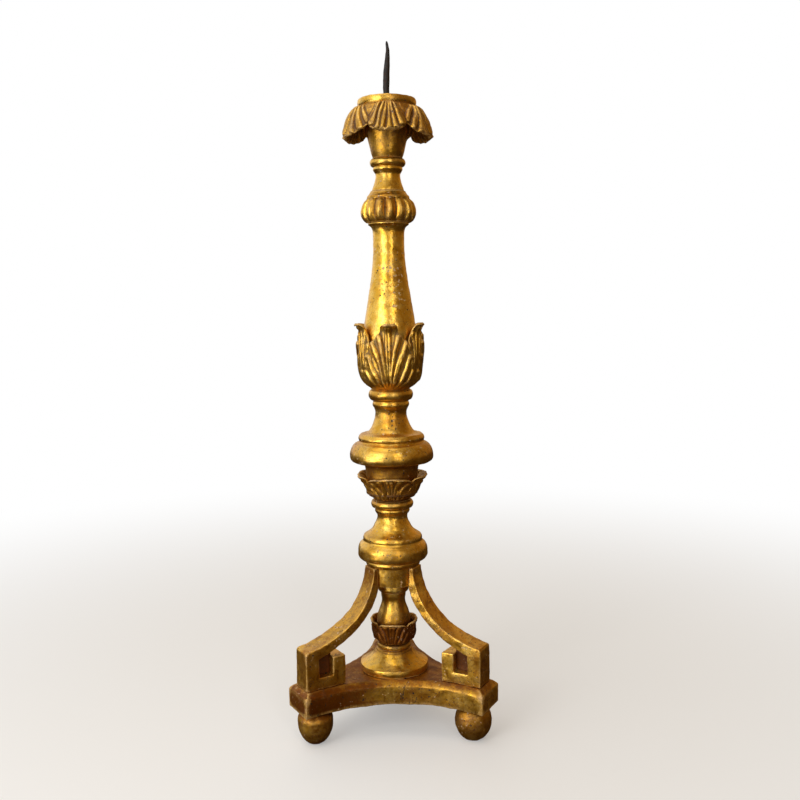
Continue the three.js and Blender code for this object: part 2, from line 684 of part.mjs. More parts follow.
function shaftGeometry() {
  const belly = shaftBottom + SHAFT_BELLY_HEIGHT;
  const neck = shaftBottom + SHAFT_NECK_HEIGHT;
  const slope = new THREE.CubicBezierCurve(
    new THREE.Vector2(SHAFT_BELLY_RADIUS, belly),
    new THREE.Vector2(SHAFT_BELLY_RADIUS - 4.5, belly + SHAFT_BELLY_HEIGHT * 0.6),
    new THREE.Vector2(SHAFT_NECK_RADIUS, neck - SHAFT_BELLY_HEIGHT * 0.8),
    new THREE.Vector2(SHAFT_NECK_RADIUS, neck));
  return turned([
    ...tenonBelow(SHAFT_TENON_RADIUS, SHAFT_TENON_LENGTH + MAIN_CUP_FLOOR + 2 * FIT, shaftBottom),
    [SHAFT_FOOT_RADIUS, shaftBottom],
    [(SHAFT_FOOT_RADIUS + SHAFT_BELLY_RADIUS) / 2, (shaftBottom + belly) / 2],
    ...slope.getPoints(6).map((point) => [point.x, point.y]),
    ...bend([SHAFT_NECK_RADIUS, neck + (shaftTop - neck) * 0.6], [SHAFT_NECK_RADIUS + 1, shaftTop - SHAFT_TOP_HEIGHT - 2],
      [SHAFT_TOP_RADIUS, shaftTop - SHAFT_TOP_HEIGHT], 3),
    [SHAFT_TOP_RADIUS, shaftTop],
    ...socketAbove(UPPER_NECK_TENON_RADIUS, UPPER_NECK_TENON_LENGTH, shaftTop),
  ]);
}

function upperNeckGeometry() {
  const waist = upperNeckBottom + UPPER_NECK_WAIST_HEIGHT;
  const through = GADROON_HEIGHT + SHOULDER_HEIGHT + 2 * FIT;
  return turned([
    ...tenonBelow(UPPER_NECK_TENON_RADIUS, UPPER_NECK_TENON_LENGTH + through, upperNeckBottom),
    ...bend([UPPER_NECK_FOOT_RADIUS, upperNeckBottom], [UPPER_NECK_WAIST_RADIUS + 1, upperNeckBottom + 9],
      [UPPER_NECK_WAIST_RADIUS, waist], 4),
    ...bend([UPPER_NECK_WAIST_RADIUS, waist], [UPPER_NECK_WAIST_RADIUS, topBeadBottom - 6],
      [UPPER_NECK_TOP_RADIUS, topBeadBottom - 3], 2),
    [UPPER_NECK_TOP_RADIUS, topBeadBottom],
    ...bead(TOP_BEAD_GROOVE, TOP_BEAD_RADIUS, topBeadBottom, upperNeckTop),
    ...socketAbove(CONE_TENON_RADIUS, CONE_TENON_LENGTH, upperNeckTop),
  ]);
}

function coneGeometry() {
  return turned([
    ...tenonBelow(CONE_TENON_RADIUS, CONE_TENON_LENGTH, coneBottom),
    [CONE_FOOT_RADIUS, coneBottom],
    ...bend([CONE_FOOT_RADIUS + 1, coneBottom + 4],
      [CONE_BODY_RADIUS - 2.5, coneBottom + CONE_BODY_HEIGHT / 2],
      [CONE_BODY_RADIUS, coneBottom + CONE_BODY_HEIGHT], 3),
    [CONE_SHOULDER_RADIUS, coneTop - CROWN_COLLAR_HEIGHT - FIT],
    [CONE_TOP_RADIUS, coneTop - CROWN_COLLAR_HEIGHT - FIT],
    [CONE_TOP_RADIUS, coneTop],
    ...socketAbove(SPIKE_RADIUS, tangInCone, coneTop),
  ]);
}

function rimGeometry() {
  return turned([
    [SPIKE_RADIUS + FIT, rimBottom],
    [RIM_RADIUS - 1.5, rimBottom],
    [RIM_RADIUS, rimBottom + RIM_HEIGHT * 0.4],
    [RIM_RADIUS - 0.5, rimTop - 1.5],
    [RIM_RADIUS - 2, rimTop],
    [RIM_RADIUS - RIM_LIP, rimTop],
    [RIM_RADIUS - RIM_LIP - SEAT_DEPTH, seatHeight],
    [SPIKE_RADIUS + FIT, seatHeight],
    [SPIKE_RADIUS + FIT, rimBottom],
  ]);
}

const tangInCone = TANG_LENGTH - (seatHeight - rimBottom) - FIT;

/** The forged pricket: a straight tang in the wood, then a slightly bent spike. */
function spikeGeometry() {
  const foot = seatHeight + FIT;
  const profile = [...tenonBelow(SPIKE_RADIUS, TANG_LENGTH, foot)];
  for (let station = 0; station <= SPIKE_STATIONS; station += 1) {
    const share = station / SPIKE_STATIONS;
    const radius = SPIKE_TIP_RADIUS + (SPIKE_RADIUS - SPIKE_TIP_RADIUS) * (1 - share ** 2.2);
    profile.push([radius, foot + SPIKE_LENGTH * share]);
  }
  profile.push([0, foot + SPIKE_LENGTH]);
  const geometry = turned(profile, SPIKE_SIDES);
  const position = geometry.attributes.position;
  for (let i = 0; i < position.count; i += 1) {
    const share = Math.max(0, (position.getZ(i) - foot) / SPIKE_LENGTH);
    const lean = SPIKE_BEND * Math.sin(share * Math.PI * 0.8) * share;
    position.setX(i, position.getX(i) + lean);
  }
  return geometry;
}

// ---------------------------------------------------------------- carved rings

/**
 * Where an angle lies on a ring of leaves: `across` is 0 on a midrib and 1 on a leaf's edge.
 * With `broad` over a half, every other leaf is wide and overlaps the narrow ones between.
 */
function onLeaf(angle, broad) {
  const share = (angle * LEAVES) / (2 * Math.PI);
  const fromBroad = Math.abs(share - 2 * Math.round(share / 2));
  const onTop = fromBroad <= broad;
  return { across: onTop ? fromBroad / broad : (1 - fromBroad) / (1 - broad), onTop };
}

/** How far the face of a leaf stands out: ribs beside the midrib, and edges that fall back. */
function leafRelief({ across, onTop }, along) {
  const fade = Math.sin(Math.PI * Math.min(along * 1.2, 0.9));
  const ribs = onTop ? Math.cos(4 * Math.PI * across) : Math.cos(2 * Math.PI * across);
  const fall = LEAF_VALLEY * across ** 2 * Math.min(1, along * 3);
  return LEAF_RELIEF * ribs * fade - fall - (onTop ? 0 : LEAF_RELIEF);
}

/** A smooth leaf midrib through [radius, height] points. */
function midrib(points) {
  return new THREE.SplineCurve(points.map(([radius, height]) => new THREE.Vector2(radius, height)));
}

/**
 * A bowl of leaves that stands on the piece below and holds the piece above.
 * `outer` runs up the midrib to the tip, `edge` is the length left between two leaves,
 * `core` the radius of what stands in the bowl and `bore` that of the tenon through its floor.
 */
function leafCup({ outer, bottom, floor, core, bore, edge, rows }) {
  const wallRows = Math.ceil(rows / 2);
  const inner = core + FIT;
  const floorHeight = bottom + floor;
  return carvedRing((angle) => {
    const place = onLeaf(angle, BROAD_LEAF);
    const reach = 1 - (1 - edge) * place.across ** 2;
    const section = [];
    for (let row = 0; row <= rows; row += 1) {
      const point = outer.getPointAt((reach * row) / rows);
      section.push([point.x + leafRelief(place, row / rows), point.y]);
    }
    for (let row = wallRows; row > 0; row -= 1) {
      const share = reach * (0.3 + (0.7 * row) / wallRows);
      const point = outer.getPointAt(share);
      const tangent = outer.getTangentAt(share);
      const radius = point.x - tangent.y * LEAF_THICKNESS + leafRelief(place, share);
      const height = point.y + tangent.x * LEAF_THICKNESS;
      section.push([Math.max(inner, radius), Math.max(floorHeight + 1, height)]);
    }
    section.push([inner, floorHeight], [bore + FIT, floorHeight], [bore + FIT, bottom]);
    return section;
  }, LEAVES * COLUMNS_PER_LEAF);
}

function lowerCupGeometry() {
  const height = LOWER_CUP_HEIGHT;
  return leafCup({
    outer: midrib([
      [LOWER_CUP_FOOT_RADIUS, lowerCupBottom],
      [LOWER_CUP_BODY_RADIUS, lowerCupBottom + height * 0.3],
      [LOWER_CUP_BODY_RADIUS, lowerCupBottom + height * 0.75],
      [LOWER_CUP_TIP_RADIUS, lowerCupBottom + height],
    ]),
    bottom: lowerCupBottom,
    floor: LOWER_CUP_FLOOR,
    core: STEM_FOOT_RADIUS,
    bore: STEM_TENON_RADIUS,
    edge: 0.78,
    rows: 5,
  });
}

function smallCupGeometry() {
  const height = SMALL_CUP_HEIGHT;
  return leafCup({
    outer: midrib([
      [SMALL_CUP_FOOT_RADIUS, smallCupBottom],
      [SMALL_CUP_BODY_RADIUS - 4, smallCupBottom + height * 0.32],
      [SMALL_CUP_BODY_RADIUS, smallCupBottom + height * 0.62],
      [SMALL_CUP_TIP_RADIUS, smallCupBottom + height],
    ]),
    bottom: smallCupBottom,
    floor: SMALL_CUP_FLOOR,
    core: NECK_RADIUS - 2,
    bore: NECK_TENON_RADIUS,
    edge: 0.74,
    rows: 5,
  });
}

function mainCupGeometry() {
  const height = MAIN_CUP_HEIGHT;
  return leafCup({
    outer: midrib([
      [MAIN_CUP_FOOT_RADIUS, mainCupBottom],
      [MAIN_CUP_BODY_RADIUS - 7, mainCupBottom + height * 0.17],
      [MAIN_CUP_BODY_RADIUS - 2, mainCupBottom + height * 0.4],
      [MAIN_CUP_BODY_RADIUS, mainCupBottom + height * 0.7],
      [MAIN_CUP_BODY_RADIUS, mainCupBottom + height * 0.85],
      [MAIN_CUP_TIP_RADIUS, mainCupBottom + height],
    ]),
    bottom: mainCupBottom,
    floor: MAIN_CUP_FLOOR,
    core: SHAFT_BELLY_RADIUS,
    bore: SHAFT_TENON_RADIUS,
    edge: 0.78,
    rows: 8,
  });
}

/** The drooping crown: leaves that spring from under the rim and hang out round the cone. */
function crownGeometry() {
  const root = rimBottom - FIT;
  const spread = CROWN_BULGE_RADIUS - CROWN_ROOT_RADIUS;
  const outer = midrib([
    [CROWN_ROOT_RADIUS, root],
    [CROWN_ROOT_RADIUS + spread * 0.5, root - CROWN_DROP * 0.07],
    [CROWN_ROOT_RADIUS + spread * 0.88, root - CROWN_DROP * 0.3],
    [CROWN_BULGE_RADIUS, root - CROWN_DROP * 0.65],
    [CROWN_TIP_RADIUS, root - CROWN_DROP],
  ]);
  const rows = 6;
  const backRows = 4;
  const inner = CONE_TOP_RADIUS + FIT;
  return carvedRing((angle) => {
    const place = onLeaf(angle, 0.5);
    const reach = 1 - 0.14 * place.across ** 2;
    const section = [];
    for (let row = 0; row <= rows; row += 1) {
      const point = outer.getPointAt((reach * row) / rows);
      section.push([point.x + leafRelief(place, row / rows), point.y]);
    }
    for (let row = backRows; row > 0; row -= 1) {
      const share = reach * (0.3 + (0.7 * row) / backRows);
      const point = outer.getPointAt(share);
      const tangent = outer.getTangentAt(share);
      const radius = point.x + tangent.y * CROWN_THICKNESS + leafRelief(place, share);
      section.push([radius, point.y - tangent.x * CROWN_THICKNESS]);
    }
    const collarBottom = root - CROWN_COLLAR_HEIGHT;
    section.push([CONE_SHOULDER_RADIUS + 1, collarBottom], [inner, collarBottom], [inner, root]);
    return section;
  }, LEAVES * COLUMNS_PER_LEAF);
}

/** The knop with upright gadroons and a plain sloping shoulder above them. */
function gadroonGeometry() {
  const rows = 4;
  const bore = UPPER_NECK_TENON_RADIUS + FIT;
  return carvedRing((angle) => {
    const lobe = Math.abs(Math.sin((angle * GADROONS) / 2)) ** 0.7;
    const section = [];
    for (let row = 0; row <= rows; row += 1) {
      const share = row / rows;
      const swell = Math.sin(Math.PI * (0.08 + 0.84 * share));
      const depth = (GADROON_RADIUS - GADROON_FOOT_RADIUS) - GADROON_GROOVE * (1 - lobe);
      section.push([GADROON_FOOT_RADIUS + depth * swell, gadroonBottom + GADROON_HEIGHT * share]);
    }
    section.push([SHOULDER_RADIUS, gadroonTop], [SHOULDER_RADIUS, gadroonTop + 2]);
    section.push([SHOULDER_TOP_RADIUS, shoulderTop], [bore, shoulderTop], [bore, gadroonBottom]);
    return section;
  }, GADROONS * COLUMNS_PER_GADROON);
}

// ---------------------------------------------------------------- finishes and assembly

const gold = { color: 0xb8862b, roughness: 0.35, metalness: 0.9 };
const shadedGold = { color: 0x8a5a1c, roughness: 0.45, metalness: 0.75 };
const iron = { color: 0x2b2320, roughness: 0.7, metalness: 0.8 };
const bareWood = { color: 0x9a7b52, roughness: 0.8, metalness: 0 };

function piece(name, geometry, finish, angle = 0, distance = 0) {
  const shaded = geometry.toNonIndexed();
  shaded.computeVertexNormals();
  const mesh = new THREE.Mesh(shaded, new THREE.MeshStandardMaterial(finish));
  mesh.name = name;
  mesh.rotation.z = angle;
  mesh.position.set(distance * Math.cos(angle), distance * Math.sin(angle), 0);
  return mesh;
}

const column = new THREE.Group();
column.add(piece('plinth_board', plinthGeometry(), gold));

const foot = footGeometry();
const leg = legGeometry();
const dowel = dowelGeometry();
['back', 'front_left', 'front_right'].forEach((place, index) => {
  column.add(piece(`ball_foot_${place}`, foot, shadedGold, legAngle(index), footPlace));
  column.add(piece(`bracket_leg_${place}`, leg, gold, legAngle(index)));
  column.add(piece(`leg_dowel_${place}`, dowel, bareWood, legAngle(index)));
});

column.add(piece('base_bell', bellGeometry(), gold));
column.add(piece('lower_leaf_cup', lowerCupGeometry(), shadedGold, LOW_CUP_TURN - Math.PI / 2));
column.add(piece('lower_stem', stemGeometry(), gold));
column.add(piece('tripod_hub', hubGeometry(), gold));
column.add(piece('lower_knop', lowerKnopGeometry(), gold));
column.add(piece('small_leaf_cup', smallCupGeometry(), shadedGold, LOW_CUP_TURN - Math.PI / 2));
column.add(piece('upper_knop', upperKnopGeometry(), gold));
column.add(piece('main_leaf_cup', mainCupGeometry(), gold, MAIN_CUP_TURN - Math.PI / 2));
column.add(piece('tapered_shaft', shaftGeometry(), gold));
column.add(piece('gadrooned_knop', gadroonGeometry(), gold));
column.add(piece('upper_neck', upperNeckGeometry(), gold));
column.add(piece('cup_cone', coneGeometry(), gold));
column.add(piece('leaf_crown', crownGeometry(), gold, CROWN_TURN - Math.PI / 2));
column.add(piece('cup_rim', rimGeometry(), gold));
column.add(piece('pricket_spike', spikeGeometry(), iron));

// The back ear reaches further from the column than the two front ears do, so the column
// stands in front of the middle of the footprint.
const halfPitch = Math.PI / LEG_COUNT;
const frontReach = EAR_REACH * Math.cos(halfPitch) + (EAR_WIDTH / 2) * Math.sin(halfPitch);
column.position.y = (frontReach - EAR_REACH) / 2;

const torchere = new THREE.Group();
torchere.add(column);

export default torchere;
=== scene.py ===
"""A giltwood torchere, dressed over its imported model: turned, carved and gilded pieces."""

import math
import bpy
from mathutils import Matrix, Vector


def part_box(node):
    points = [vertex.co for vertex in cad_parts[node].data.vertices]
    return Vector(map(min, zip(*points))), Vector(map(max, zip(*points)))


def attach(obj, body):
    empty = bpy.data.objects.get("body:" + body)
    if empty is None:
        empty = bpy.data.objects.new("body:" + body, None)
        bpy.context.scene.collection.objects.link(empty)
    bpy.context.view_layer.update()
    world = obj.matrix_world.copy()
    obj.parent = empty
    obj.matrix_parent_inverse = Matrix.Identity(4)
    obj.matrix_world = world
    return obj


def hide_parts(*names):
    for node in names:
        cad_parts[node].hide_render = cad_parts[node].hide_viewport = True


bl_info = {
    "name": "Giltwood Torchere",
    "version": (1, 0, 0),
    "blender": (4, 5, 0),
    "location": "View3D > Sidebar > Torchere",
    "description": "Builds the carved and gilded pieces of a candle stand, and its plain stage",
    "category": "Add Mesh",
}

import bmesh
import bpy
import numpy as np
from mathutils import Matrix, Vector

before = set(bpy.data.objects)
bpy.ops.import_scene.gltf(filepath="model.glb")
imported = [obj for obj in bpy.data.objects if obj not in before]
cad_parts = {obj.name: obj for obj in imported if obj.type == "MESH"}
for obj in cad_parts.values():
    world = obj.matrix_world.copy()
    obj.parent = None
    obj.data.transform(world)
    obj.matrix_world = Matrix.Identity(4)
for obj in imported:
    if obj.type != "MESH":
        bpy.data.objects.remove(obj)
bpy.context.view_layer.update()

MM = 0.001
AXIS_Y = sum(corner[1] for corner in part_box("tapered_shaft")) / 2
LEG_ANGLES = {"back": 90.0, "front_left": 210.0, "front_right": 330.0}


# ------------------------------------------------------------------ settings

class TurningSettings(bpy.types.PropertyGroup):
    sides: bpy.props.IntProperty(
        name="Sides", description="Facets round a turned piece", default=112, min=24)
    step: bpy.props.FloatProperty(
        name="Profile step", description="Distance between points of a turned profile",
        default=1.3 * MM, unit="LENGTH")
    arris: bpy.props.FloatProperty(
        name="Arris", description="Rounding of worn corners", default=0.9 * MM, unit="LENGTH")
    unevenness: bpy.props.FloatProperty(
        name="Unevenness", description="How far hand work strays from the true shape",
        default=0.36 * MM, unit="LENGTH")


class CarvingSettings(bpy.types.PropertyGroup):
    columns: bpy.props.IntProperty(
        name="Columns", description="Grid columns round a carved ring", default=384, min=60)
    rows: bpy.props.IntProperty(
        name="Rows", description="Grid rows over a carved section", default=96, min=20)
    depth: bpy.props.FloatProperty(
        name="Depth", description="Strength of the carved relief", default=1.0, min=0.0,
        subtype="FACTOR")


class GildingSettings(bpy.types.PropertyGroup):
    gold: bpy.props.FloatVectorProperty(
        name="Gold", description="Burnished gold leaf", default=(0.78, 0.425, 0.036),
        size=3, subtype="COLOR", min=0.0, max=1.0)
    pale_gold: bpy.props.FloatVectorProperty(
        name="Pale gold", description="Gold leaf where it is thick and clean",
        default=(1.0, 0.68, 0.16), size=3, subtype="COLOR", min=0.0, max=1.0)
    clay: bpy.props.FloatVectorProperty(
        name="Clay", description="Reddish clay that shows where the gold is rubbed",
        default=(0.21, 0.042, 0.003), size=3, subtype="COLOR", min=0.0, max=1.0)
    # The colour of the soiling and painted shade in the hollows.
    dirt_and_shade: bpy.props.FloatVectorProperty(
        name="Dirt", description="Old dirt in the hollows", default=(0.046, 0.009, 0.0006),
        size=3, subtype="COLOR", min=0.0, max=1.0)
    chalk: bpy.props.FloatVectorProperty(
        name="Chalk", description="Chalk ground in the chips", default=(0.58, 0.40, 0.25),
        size=3, subtype="COLOR", min=0.0, max=1.0)


class StageSettings(bpy.types.PropertyGroup):
    floor_colour: bpy.props.FloatVectorProperty(
        name="Floor", description="Colour of the plain floor", default=(0.80, 0.80, 0.79),
        size=3, subtype="COLOR", min=0.0, max=1.0)
    key_power: bpy.props.FloatProperty(
        name="Key light", description="Power of the large light on the left", default=17.5,
        min=0.0, unit="POWER")
    fill_power: bpy.props.FloatProperty(
        name="Fill light", description="Power of the narrow light in front", default=9.0,
        min=0.0, unit="POWER")


# ------------------------------------------------------------------ shared mesh work

def smooth_run(points, step):
    """Points at even spacing on a curve through `points`, which are (radius, height) in mm."""
    points = np.array(points, float)
    if len(points) == 2:
        return points
    knots = np.concatenate([[0], np.cumsum(np.hypot(*np.diff(points, axis=0).T) ** 0.7)])
    slopes = np.gradient(points, knots, axis=0)
    fine = []
    for k in range(len(points) - 1):
        gap = knots[k + 1] - knots[k]
        count = max(2, int(math.hypot(*(points[k + 1] - points[k])) / step) + 1)
        t = np.linspace(0, 1, count, endpoint=False)[:, None]
        fine.append((2 * t**3 - 3 * t**2 + 1) * points[k] + (t**3 - 2 * t**2 + t) * gap * slopes[k]
                    + (3 * t**2 - 2 * t**3) * points[k + 1] + (t**3 - t**2) * gap * slopes[k + 1])
    return np.vstack(fine + [points[-1:]])


def turned_profile(runs, step, arris):
    """Joins smooth runs; where two meet, the corner is rounded by `arris` (all mm)."""
    line = [smooth_run(run, step) for run in runs]
    out = [line[0][0]]
    for k, run in enumerate(line):
        inner = list(run[1:-1])
        corner = run[-1]
        out += [p for p in inner if math.hypot(*(p - out[-1])) > 0.2]
        if k + 1 == len(line):
            out.append(corner)
            break
        before, after = Vector(out[-1]), Vector(line[k + 1][1])
        knee = Vector(corner)
        enter = knee + (before - knee).normalized() * min(arris, (before - knee).length * 0.45)
        leave = knee + (after - knee).normalized() * min(arris, (after - knee).length * 0.45)
        for t in (0.0, 0.5, 1.0):
            out.append(np.array(enter * (1 - t) ** 2 + knee * 2 * t * (1 - t) + leave * t * t))
    return out


def spin_profile(points, sides, closed=False):
    """A bmesh of the profile spun round the vertical line through the origin."""
    bm = bmesh.new()
    verts = [bm.verts.new((r * MM, 0, z * MM)) for r, z in points]
    for a, b in zip(verts, verts[1:] + (verts[:1] if closed else [])):
        bm.edges.new((a, b))
    bmesh.ops.spin(bm, geom=bm.verts[:] + bm.edges[:], cent=(0, 0, 0), axis=(0, 0, 1),
                   angle=2 * math.pi, steps=sides, use_merge=True)
    bmesh.ops.remove_doubles(bm, verts=bm.verts[:], dist=0.00001)
    bmesh.ops.recalc_face_normals(bm, faces=bm.faces[:])
    return bm


def read_points(mesh):
    flat = np.empty(len(mesh.vertices) * 3)
    mesh.vertices.foreach_get("co", flat)
    return flat.reshape(-1, 3)


def write_points(mesh, points):
    mesh.vertices.foreach_set("co", np.ascontiguousarray(points).ravel())
    mesh.update()


def read_normals(mesh):
    flat = np.empty(len(mesh.vertices) * 3)
    mesh.vertex_normals.foreach_get("vector", flat)
    return flat.reshape(-1, 3)


def waves(points, size, seed):
    """Smooth seeded unevenness, about -1 to 1, with features of about `size` metres."""
    rng = np.random.default_rng(seed)
    total = np.zeros(len(points))
    for _ in range(7):
        direction = rng.normal(size=3)
        direction *= 2 * math.pi / (size * rng.uniform(0.7, 1.6)) / np.linalg.norm(direction)
        total += np.sin(points @ direction + rng.uniform(0, 6.28))
    return total / 3.0


def roughen(mesh, amount, seed):
    """Pushes the surface in and out a little, as hand work and old age do."""
    points = read_points(mesh)
    shift = (waves(points, 34 * MM, seed) * 0.5 + waves(points, 11 * MM, seed + 1) * 0.35
             + waves(points, 5.5 * MM, seed + 2) * 0.18)
    write_points(mesh, points + read_normals(mesh) * (shift * amount)[:, None])


def mark_hollows(mesh, passes=7):
    """Stores on each point how deep it lies in a hollow (mm), or stands proud (minus)."""
    points = read_points(mesh)
    ends = np.empty(len(mesh.edges) * 2, int)
    mesh.edges.foreach_get("vertices", ends)
    a, b = ends.reshape(-1, 2).T
    count = np.bincount(np.r_[a, b], minlength=len(points))[:, None]
    soft = points.copy()
    for _ in range(passes):
        near = np.stack([np.bincount(np.r_[a, b], np.r_[soft[b, k], soft[a, k]], len(points))
                         for k in range(3)], axis=1)
        soft = 0.4 * soft + 0.6 * near / count
    depth = ((soft - points) * read_normals(mesh)).sum(axis=1) / MM
    mesh.attributes.new("hollow", "FLOAT", "POINT").data.foreach_set("value", depth)


# How much each height of the stand is darkened (mm, 0 to 1): old soiling, and painted shade under
# the mouldings, in the cups and below the crown. The amounts were set against the photograph's
# brightness.
GRIME_AND_SHADE = [(82, 0.4), (84, 0.25), (104, 0.35), (113, 0.7), (117, 0.2), (124, 0.95), (150, 0.95),
         (158, 0.6), (172, 0.45), (200, 0.5), (206, 0.05), (240, 0.05), (249, 0.3), (256, 0.05),
         (274, 0.1), (286, 0.4), (300, 0.1), (322, 0.3), (330, 0.0), (338, 0.7), (360, 0.5),
         (376, 0.6), (391, 0.7), (396, 0.05), (408, 0.0), (423, 0.25), (436, 0.25), (452, 0.0),
         (474, 0.2), (490, 0.0), (500, 0.5), (530, 0.0), (580, 0.05), (600, 0.05), (730, 0.0),
         (737, 0.4), (752, 0.0), (770, 0.3), (780, 0.0), (806, 0.3), (820, 0.0), (827, 0.55),
         (845, 0.5), (880, 0.65), (886, 0.5), (897, 0.65), (902, 0.0), (988, 0.0)]
# The same for the plinth, the legs and the feet, by height: soiling and painted shade, deepest at their
# ends, where they meet other parts.
PLINTH_GRIME_AND_SHADE = [(48, 0.5), (58, 0.2), (72, 0.15), (74.5, 0.5), (81.6, 0.8)]
LEG_GRIME_AND_SHADE = [(82, 0.55), (92, 0.15), (130, 0.1), (200, 0.1), (240, 0.4)]
FOOT_GRIME_AND_SHADE = [(0, 0.5), (14, 0.2), (34, 0.1), (46, 0.8)]
# The left side of the base is darker in the photograph, and is made darker still by these amounts.
LEFT_FOOT_DARKENING = 0.35
LEFT_FRONT_DARKENING = 0.75  # at the left end of the plinth's front
LEFT_KEY_DARKENING, LEFT_ARM_DARKENING = 0.22, 0.42  # on the leg, below and above its shoulder


# Stores how much each point is darkened by soiling and painted shade, from a table by height.
def mark_grime_and_shade(mesh, table):
    height = read_points(mesh)[:, 2] / MM
    value = np.interp(height, *np.array(table).T)
    mesh.attributes.new("grime_and_shade", "FLOAT", "POINT").data.foreach_set("value", value)


def add_piece(name, bm, nodes, finish, seed, offset=(0.0, AXIS_Y), uneven=None, passes=7,
              grime_and_shade=None):
    """Puts a finished bmesh in the scene for the CAD nodes that it stands for."""
    bmesh.ops.translate(bm, verts=bm.verts[:], vec=(offset[0], offset[1], 0))
    mesh = bpy.data.meshes.new(name)
    bm.to_mesh(mesh)
    bm.free()
    mesh.polygons.foreach_set("use_smooth", [True] * len(mesh.polygons))
    amount = bpy.context.scene.torchere_turning.unevenness if uneven is None else uneven
    mark_hollows(mesh, passes)
    mark_grime_and_shade(mesh, grime_and_shade or GRIME_AND_SHADE)
    if amount:
        roughen(mesh, amount, seed)
    piece = bpy.data.objects.new(name, mesh)
    bpy.context.collection.objects.link(piece)
    mesh.materials.append(bpy.data.materials[finish])
    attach(piece, "root")
    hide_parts(*nodes)
    return piece


# ------------------------------------------------------------------ turned pieces
# Each profile runs from the bottom up as smooth runs of (radius, height) in mm; where two
# runs meet there is a corner.

